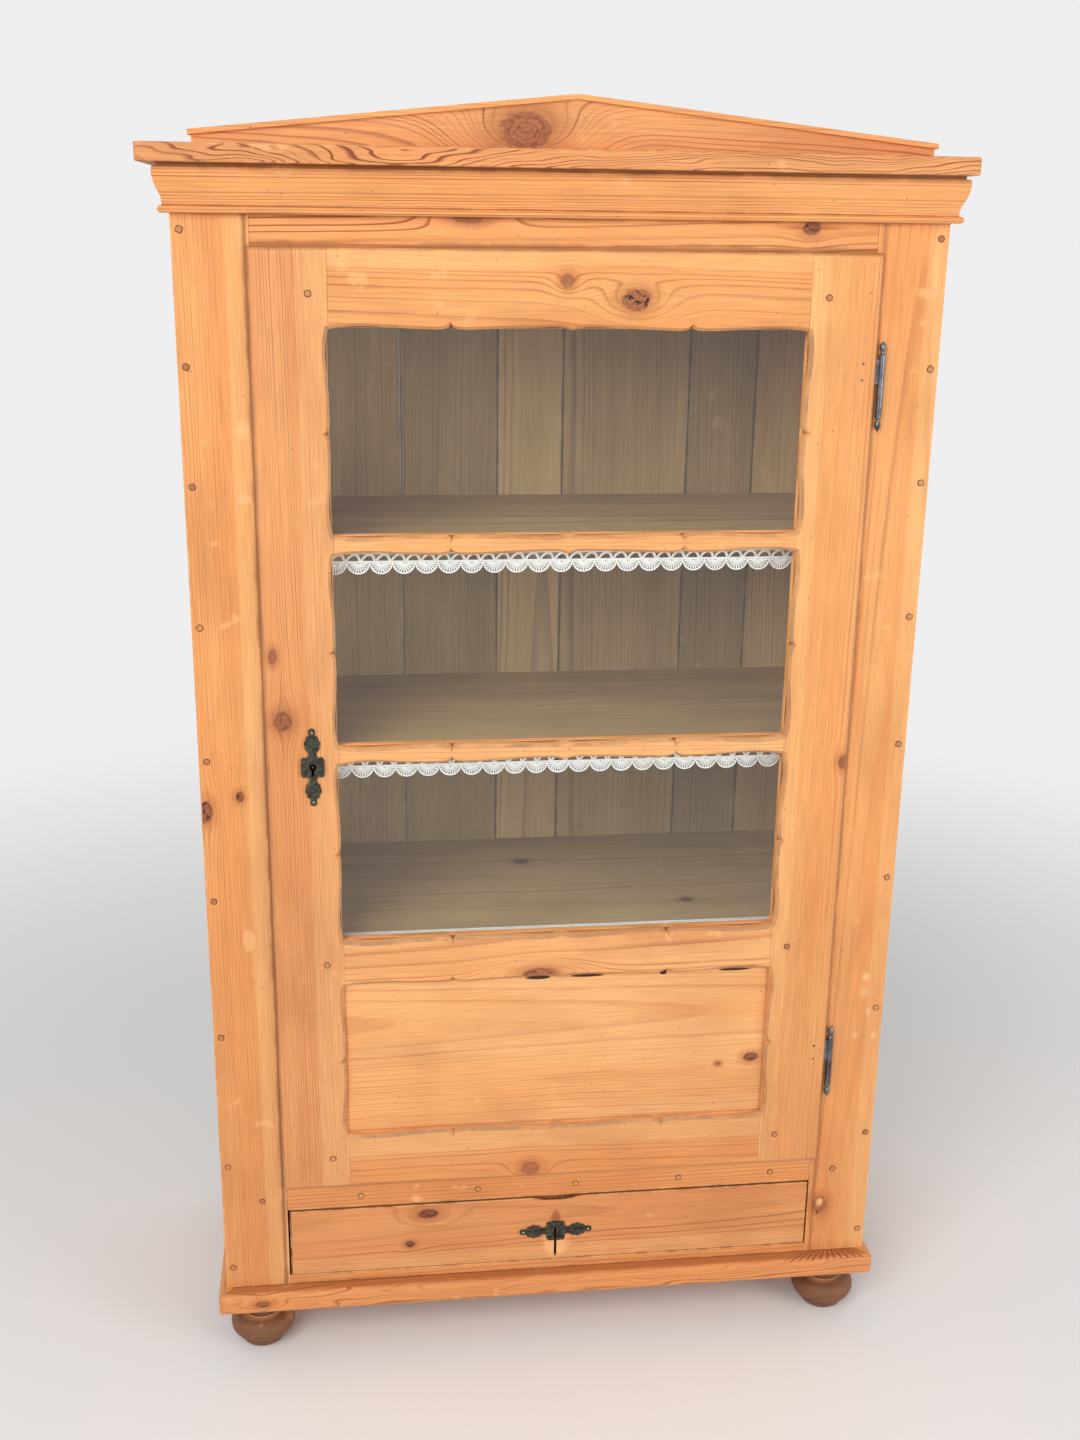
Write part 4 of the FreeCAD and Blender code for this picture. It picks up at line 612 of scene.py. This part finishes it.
# Joints between the back's boards
backEdges = [-0.3103, -0.1889, -0.0495, 0.0450, 0.2293, 0.3283]
insideBoards = {
    "floor_board": dict(grain="x flat", ring=0.005, pith=(0.0, 0.14), wander=0.03, seed=31.0),
    "shelf_lower": dict(grain="x flat", ring=0.0055, pith=(0.02, 0.15), wander=0.03, seed=33.0,
                        knots=[dict(at=(-0.02, 0.10, 0.622), radius=0.010, tone=0.3),
                               dict(at=(0.2, -0.06, 0.622), radius=0.008, tone=0.3)]),
    "shelf_middle": dict(grain="x flat", ring=0.0055, pith=(0.03, 0.15), wander=0.03, seed=34.0),
    "shelf_upper": dict(grain="x flat", ring=0.0055, pith=(-0.03, 0.15), wander=0.03, seed=35.0),
    "shelf_cleats": dict(grain="y side", ring=0.006, pith=(0.0, 0.1), wander=0.01, seed=36.0),
    "drawer_guides": dict(grain="y side", ring=0.006, pith=(0.0, 0.1), wander=0.01, seed=37.0),
    "drawer_side_left": dict(grain="y side", ring=0.005, pith=(0.03, 0.1), wander=0.015, seed=38.0),
    "drawer_side_right": dict(grain="y side", ring=0.005, pith=(-0.03, 0.1), wander=0.015, seed=39.0),
    "drawer_back": dict(grain="x front", ring=0.005, pith=(0.03, 0.1), wander=0.015, seed=40.0),
    "drawer_bottom": dict(grain="x flat", ring=0.006, pith=(0.0, 0.12), wander=0.03, seed=41.0),
    "pediment_blocks": dict(grain="x front", ring=0.006, pith=(0.05, 0.1), wander=0.01, seed=42.0),
    "back_boards": dict(grain="z front", ring=0.0052, pith=(0.02, 0.1), wander=0.014, bold=0.6, seed=43.0,
                        boards=backEdges, dirty=[(0, edge, 0.004, 0.8) for edge in backEdges]),
}
for name, cut in insideBoards.items():
    dressBoard(name, insideTones, **cut)

# Feet: painted shadow under the base, dirt and painted shade in the cut ring and at the neck, and a painted highlight
# on the edge where the bun meets the neck
footNames = ("foot_front_left", "foot_front_right", "foot_back_left", "foot_back_right")
footShadeAndHighlight = [(2, 0.0115, 0.002, 0.8), (2, 0.0505, 0.002, 0.7), (2, 0.0475, 0.0018, 1.0, "rubAndHighlight"), (2, 0.0775, 0.010, 0.7)]
for number, name in enumerate(footNames):
    dressBoard(name, footShadedTones, grain="x flat", ring=0.005, pith=(0.03, 0.06), wander=0.012, bold=0.6,
               seed=51.0 + number, dirty=footShadeAndHighlight)
print("boards dressed:", len(frontBoards) + len(insideBoards) + len(footNames))


# Metal and thread: two tones in clouds, and slanted faces rubbed bright where the metal is worn, which on the plates is
# also a painted highlight

def plainFinish(name, first, second, rough, metallic, scale, bumpHeight, spec=0.5, worn=None):
    material, tree = newMaterial(name)
    coords = addNode(tree, "ShaderNodeTexCoord").outputs
    cloud = noise(tree, coords["Object"], scale, 4.0, 0.6)
    fine = noise(tree, coords["Object"], scale * 6)
    color = blend(tree, ramp(tree, cloud, 0.35, 0.65), first, second)
    if worn:
        slant = calc(tree, "ABSOLUTE", parts(tree, coords["Normal"])[1])
        color = lay(tree, color, worn, between(tree, slant, (0.25, 0.5), (0.85, 0.97)),
                    ramp(tree, cloud, 0.3, 0.55, 0.3, 0.9))
    shader = nodeWith(tree, "ShaderNodeBsdfPrincipled", Base_Color=color, Metallic=metallic, Specular_IOR_Level=spec,
                      Roughness=ramp(tree, fine, 0.3, 0.7, rough - 0.1, rough + 0.1),
                      Normal=relief(tree, fine, bumpHeight, 0.4))
    surface(tree, shader.outputs[0])
    return material


hingeSteel = plainFinish("hingeSteel", srgb(122, 123, 128), srgb(64, 63, 64), 0.34, 0.9, 45.0, 0.0003)
# the plates' pale slanted faces are worn metal and a painted highlight for the glint on the chamfered edges
plateBronze = plainFinish("plateBronze", srgb(52, 53, 46), srgb(86, 84, 72), 0.40, 0.7, 200.0, 0.0005,
                          worn=srgb(176, 172, 156))
lockIron = plainFinish("lockIron", srgb(58, 50, 44), srgb(84, 74, 64), 0.5, 0.7, 140.0, 0.0004)
pegWood = plainFinish("pegWood", srgb(176, 112, 66), srgb(204, 138, 84), 0.6, 0.0, 320.0, 0.0004, 0.3)
for name in ("hinge_door_halves", "hinge_frame_halves"):
    dress(name, hingeSteel)
for name in ("door_lock", "drawer_lock", "door_bolt", "drawer_bolt", "back_nails"):
    dress(name, lockIron)
for name in ("frame_pegs", "door_pegs"):
    dress(name, pegWood)
plateEdge = {"weld": 0.00001, "width": 0.0006, "segments": 2, "angle": 40}
for name in ("door_keyhole_plate", "drawer_keyhole_plate"):  # cast edges are soft
    dress(name, plateBronze)
    weld = nodes[name].modifiers.new("weld", "WELD")
    weld.merge_threshold = plateEdge["weld"]
    bevel = nodes[name].modifiers.new("softEdge", "BEVEL")
    bevel.width = plateEdge["width"]
    bevel.segments = plateEdge["segments"]
    bevel.limit_method = "ANGLE"
    bevel.angle_limit = math.radians(plateEdge["angle"])


# Old window glass: clear, with slow waves, and light for the shelves passes straight through

def makePaneGlass():
    material, tree = newMaterial("paneGlass")
    position = addNode(tree, "ShaderNodeTexCoord").outputs["Object"]
    wave = noise(tree, position, (5.0, 0.0, 9.0))
    seeds = noise(tree, position, 60.0, 1.0)
    glass = nodeWith(tree, "ShaderNodeBsdfPrincipled", Base_Color=(0.97, 0.985, 0.975, 1), IOR=1.5,
                     Transmission_Weight=1.0, Roughness=ramp(tree, wave, 0.3, 0.7, 0.0, 0.02),
                     Normal=relief(tree, calc(tree, "MULTIPLY_ADD", seeds, 0.01, wave), 0.004))
    clear = nodeWith(tree, "ShaderNodeBsdfTransparent", Color=(0.96, 0.98, 0.97, 1))
    shadow = addNode(tree, "ShaderNodeLightPath").outputs["Is Shadow Ray"]
    surface(tree, mixed(tree, shadow, glass, clear))
    return material


paneGlass = makePaneGlass()
for name in ("glass_upper", "glass_middle", "glass_lower"):
    dress(name, paneGlass)
print("metal and glass dressed")


# Mesh helper: quads from whole arrays
def meshObject(name, points, quads, material):
    mesh = bpy.data.meshes.new(name)
    mesh.from_pydata(points.reshape(-1, 3), [], quads.reshape(-1, 4))
    mesh.polygons.foreach_set("use_smooth", np.ones(len(mesh.polygons), dtype=bool))
    mesh.materials.append(material)
    mesh.update()
    return newObject(name, mesh)


# Peg heads: a low dome on each peg, its outline between a circle and a square, with a rim value for the dark outline
pegHeads = {"radius": 0.0041, "rise": 0.0005, "lift": 0.00005, "sink": 0.0002, "rings": 6, "around": 16}


def makePegWood():
    material, tree = newMaterial("pegHeadWood")
    position = addNode(tree, "ShaderNodeTexCoord").outputs["Object"]
    rim = addNode(tree, "ShaderNodeAttribute", attribute_name="rim").outputs["Fac"]
    tone = addNode(tree, "ShaderNodeAttribute", attribute_name="tone").outputs["Fac"]
    pores = noise(tree, position, 900.0)
    color = blend(tree, tone, srgb(186, 112, 66), srgb(226, 156, 98))
    color = blend(tree, ramp(tree, pores, 0.4, 0.7, 0.0, 0.5), color, srgb(140, 80, 46))
    color = blend(tree, ramp(tree, rim, 0.25, 0.8), color, srgb(84, 46, 28))
    shader = nodeWith(tree, "ShaderNodeBsdfPrincipled", Base_Color=color,
                      Roughness=ramp(tree, pores, 0.3, 0.7, 0.5, 0.65), Normal=relief(tree, pores, 0.0003))
    surface(tree, shader.outputs[0])
    return material


def makePegHeads(name, source, body, faceY, setup, material):
    corners = np.empty(len(nodes[source].data.vertices) * 3)
    nodes[source].data.vertices.foreach_get("co", corners)
    corners = corners.reshape(-1, 3)
    left = corners[:, [0, 2]]
    centres = []
    while len(left):  # one peg at a time: all corners near the first belong to it
        mine = np.hypot(*(left - left[0]).T) < 2.5 * setup["radius"]
        centres.append((left[mine].min(axis=0) + left[mine].max(axis=0)) / 2)
        left = left[~mine]
    centres = np.array(centres)
    count, rings, around = len(centres), setup["rings"], setup["around"]
    share = np.append(np.linspace(0.02, 1, rings - 1), 1.0)[None, :, None]
    turn = np.linspace(0, 2 * np.pi, around, endpoint=False)[None, None, :]
    square = rng.uniform(2.0, 4.5, (count, 1, 1))
    turned = turn + rng.uniform(0, 1.6, (count, 1, 1))
    outline = (np.abs(np.cos(turned)) ** square + np.abs(np.sin(turned)) ** square) ** (-1 / square)
    radius = setup["radius"] * outline * share
    x = centres[:, 0][:, None, None] + radius * np.cos(turn)
    z = centres[:, 1][:, None, None] + radius * np.sin(turn)
    rise = corners[:, 1].min() - setup["lift"] - setup["rise"] * (1 - share ** 4)
    rise[:, -1] = faceY + setup["sink"]  # the last ring goes into the board
    points = np.stack([x, rise + 0 * radius, z], axis=-1)
    first = np.arange(count)[:, None, None] * rings * around
    ring = np.arange(rings - 1)[None, :, None] * around
    step = np.arange(around)[None, None, :]
    after = (step + 1) % around
    low = first + ring
    quads = np.stack([low + step, low + around + step, low + around + after, low + after], axis=-1)
    half = np.arange(around // 2 - 1)[None, :]
    start = first[:, :, 0]
    middle = np.stack([start + half, start + half + 1, start + around - 2 - half, start + around - 1 - half], axis=-1)
    piece = meshObject(name, points, np.concatenate([quads.reshape(-1, 4), middle.reshape(-1, 4)]), material)
    for label, values in (("rim", share ** 3 + 0 * radius), ("tone", rng.uniform(0, 1, (count, 1, 1)) + 0 * radius)):
        piece.data.attributes.new(label, "FLOAT", "POINT").data.foreach_set("value", values.ravel())
    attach(piece, body)
    print(name, count)


pegHeadWood = makePegWood()
makePegHeads("frame_peg_heads", "frame_pegs", "carcass", -0.180, pegHeads, pegHeadWood)
makePegHeads("door_peg_heads", "door_pegs", "door", -0.1905, pegHeads, pegHeadWood)


# Lace: crochet threads as tubes along paths on a strip that is bent over the shelf's front edge
lacePattern = {"half": 0.4395, "front": -0.14625, "scallops": 31, "arches": 47, "drop": 0.042, "fold": 0.014,
               "thread": 0.00055, "net": (0.0003, 0.0036, 0.0068, 0.01, 0.0132, 0.0164),
               "band": (0.0262, 0.0274, 0.0298), "hub": 0.0284, "archHeight": 0.0096}


# A tube follows each path of a set: rings of six points, wide across the strip and thin through it, with closed ends
def sweepTubes(paths, wide, thin, side):
    count, steps, _ = paths.shape
    run = np.gradient(paths, axis=1)
    run /= np.linalg.norm(run, axis=2, keepdims=True)
    out = np.broadcast_to(np.array(side, dtype=float), paths.shape)
    out = out - run * (out * run).sum(axis=2, keepdims=True)
    out /= np.linalg.norm(out, axis=2, keepdims=True)
    flat = np.cross(run, out)
    turn = np.arange(6) * np.pi / 3
    wide = np.broadcast_to(np.asarray(wide, dtype=float), (count, steps))[:, :, None, None]
    points = paths[:, :, None, :] + wide * np.cos(turn)[None, None, :, None] * flat[:, :, None, :] \
        + thin * np.sin(turn)[None, None, :, None] * out[:, :, None, :]
    base = (np.arange(count)[:, None, None] * steps + np.arange(steps - 1)[None, :, None]) * 6
    step = np.arange(6)[None, None, :]
    after = (step + 1) % 6
    quads = np.stack([base + step, base + step + 6, base + after + 6, base + after], axis=-1).reshape(-1, 4)
    start = np.arange(count)[:, None] * steps * 6
    end = start + (steps - 1) * 6
    caps = np.concatenate([start + np.array([[0, 1, 2, 3]]), start + np.array([[0, 3, 4, 5]]),
                           end + np.array([[3, 2, 1, 0]]), end + np.array([[5, 4, 3, 0]])])
    return points.reshape(-1, 3), np.concatenate([quads, caps])


def makeLace(name, shelf, node, material, setup):
    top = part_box(shelf)[1].z
    half, drop, fold, thread = (setup[key] for key in ("half", "drop", "fold", "thread"))
    pitch = 2 * half / setup["scallops"]
    tubes = []

    def strip(u, v):  # u along the shelf, v down its front, and below 0 back over its top
        hang, back = np.maximum(v, 0), np.maximum(-v, 0)
        ripple = 0.00015 * np.sin(u * 190) * hang / drop
        return np.stack([u + 0 * v, setup["front"] + back - ripple, top + 0.0009 - hang + 0 * u], axis=-1)

    def threads(u, v, wide, thin=thread, side=(0, 1, 0)):
        tubes.append(sweepTubes(strip(u, v), wide, thin, side))

    long = np.linspace(-half, half, 2 * setup["scallops"] + 1)[None, :]
    net, band, hub = (setup[key] for key in ("net", "band", "hub"))
    for level in net[1:]:  # net heading
        threads(long, level + 0 * long, thread)
    rows = (-fold, -fold * 2 / 3, -fold / 3, -0.0004)
    for level in rows:  # the part that lies on the shelf
        threads(long, level + 0 * long, 1.5 * thread, side=(0, 0, 1))
    for level in band:  # dense band with a row of eyelets
        threads(long, level + 0 * long, 1.5 * thread, 1.2 * thread)
    posts = np.linspace(-half, half, 7 * setup["scallops"] + 1)[:, None] + np.zeros((1, 2))
    for ends in zip(net[:-1], net[1:]):
        threads(posts, np.array([ends]) + 0 * posts, thread)
    for ends in zip(rows[:-1], rows[1:]):
        threads(posts, np.array([ends]) + 0 * posts, 1.5 * thread, side=(0, 0, 1))
    threads(posts, np.array([band[1:]]) + 0 * posts, 1.6 * thread, 1.2 * thread)
    archStep = 2 * half / setup["arches"]
    feet = (-half + np.arange(setup["arches"]) * archStep)[:, None]
    bow = np.linspace(0, 1, 11)[None, :]
    for grow, lean in ((1.0, 0.0022), (0.82, 0.0016)):  # leaning arches of two threads
        u = feet + archStep * (0.5 + (bow - 0.5) * grow) + lean * np.sin(np.pi * bow)
        v = band[0] - setup["archHeight"] * grow * np.sin(np.pi * bow) ** 0.7 + 0 * u
        threads(u, v, 1.45 * thread, 1.3 * thread)
    hubs = (-half + (np.arange(setup["scallops"]) + 0.5) * pitch)[:, None, None]
    fan = np.radians(np.linspace(7, 173, 11))[None, :, None]
    reach = np.array([0.16, 0.5, 0.78, 0.95])[None, None, :]
    u = (hubs + 0.47 * pitch * reach * np.cos(fan)).reshape(-1, 4)
    v = (hub + (drop - hub - 0.001) * reach * np.sin(fan) + 0 * hubs).reshape(-1, 4)
    threads(u, v, np.array([[0.8, 1.4, 1.7, 1.6]]) * thread, 1.3 * thread)
    rim = np.radians(np.linspace(2, 178, 31))[None, :]
    bump = 0.955 + 0.035 * np.abs(np.sin(rim * 10))
    u = hubs[:, :, 0] + 0.49 * pitch * bump * np.cos(rim)
    threads(u, hub + (drop - hub) * bump * np.sin(rim) + 0 * u, 1.7 * thread, 1.4 * thread)
    starts = np.cumsum([0] + [len(points) for points, quads in tubes[:-1]])
    allPoints = np.concatenate([points for points, quads in tubes])
    allQuads = np.concatenate([quads + start for (points, quads), start in zip(tubes, starts)])
    piece = meshObject(name, allPoints, allQuads, material)
    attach(piece, "carcass")
    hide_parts(node)
    print(name, "quads", len(allQuads))


laceCotton = plainFinish("laceCotton", srgb(248, 248, 246), srgb(254, 254, 253), 0.85, 0.0, 400.0, 0.0003, 0.2)
for level in ("upper", "middle", "lower"):
    makeLace("lace_edging_" + level, "shelf_" + level, "lace_" + level, laceCotton, lacePattern)


# Stage: a pale floor that fades into a pale room, one large key lamp and a fill
stageSetup = {"floorColor": (0.94, 0.94, 0.94, 1), "roomColor": (0.86, 0.86, 0.86, 1), "skyStrength": 0.5,
              "key": ((-1.9, -3.3, 2.9), 2.4, 86.0), "fill": ((3.0, -2.7, 1.4), 2.2, 50.0), "aim": (0, -0.1, 0.85),
              "floorHalf": 14.0, "floorFade": (0.9, 3.0)}


def makeFloor(setup):
    mesh = bpy.data.meshes.new("studioFloor")
    size = setup["floorHalf"]
    mesh.from_pydata([(-size, -size, 0), (size, -size, 0), (size, size, 0), (-size, size, 0)], [], [(0, 1, 2, 3)])
    floor = newObject("studioFloor", mesh)
    material, tree = newMaterial("floorPale")
    away = ramp(tree, length(tree, addNode(tree, "ShaderNodeTexCoord").outputs["Object"]), *setup["floorFade"])
    solid = nodeWith(tree, "ShaderNodeBsdfDiffuse", Color=setup["floorColor"])
    surface(tree, mixed(tree, away, solid, addNode(tree, "ShaderNodeBsdfTransparent")))
    mesh.materials.append(material)


def makeRoom(setup):
    world = bpy.data.worlds.new("studioRoom")
    world.use_nodes = True
    tree = world.node_tree
    tree.nodes.clear()
    path = addNode(tree, "ShaderNodeLightPath").outputs
    seen = calc(tree, "MAXIMUM", path["Is Glossy Ray"], path["Is Transmission Ray"])
    seen = calc(tree, "MAXIMUM", path["Is Camera Ray"], seen)
    lit = nodeWith(tree, "ShaderNodeBackground", Color=(1, 1, 1, 1), Strength=setup["skyStrength"])
    shown = nodeWith(tree, "ShaderNodeBackground", Color=setup["roomColor"])
    surface(tree, mixed(tree, seen, lit, shown), "ShaderNodeOutputWorld")
    bpy.context.scene.world = world


def makeLamp(name, aim, spot, size, power):
    lamp = newObject(name, bpy.data.lights.new(name, "AREA"))
    lamp.data.size = size
    lamp.data.energy = power
    lamp.location = spot
    lamp.rotation_euler = (Vector(aim) - Vector(spot)).to_track_quat("-Z", "Y").to_euler()


makeFloor(stageSetup)
makeRoom(stageSetup)
makeLamp("keyLamp", stageSetup["aim"], *stageSetup["key"])
makeLamp("fillLamp", stageSetup["aim"], *stageSetup["fill"])
print("stage set")
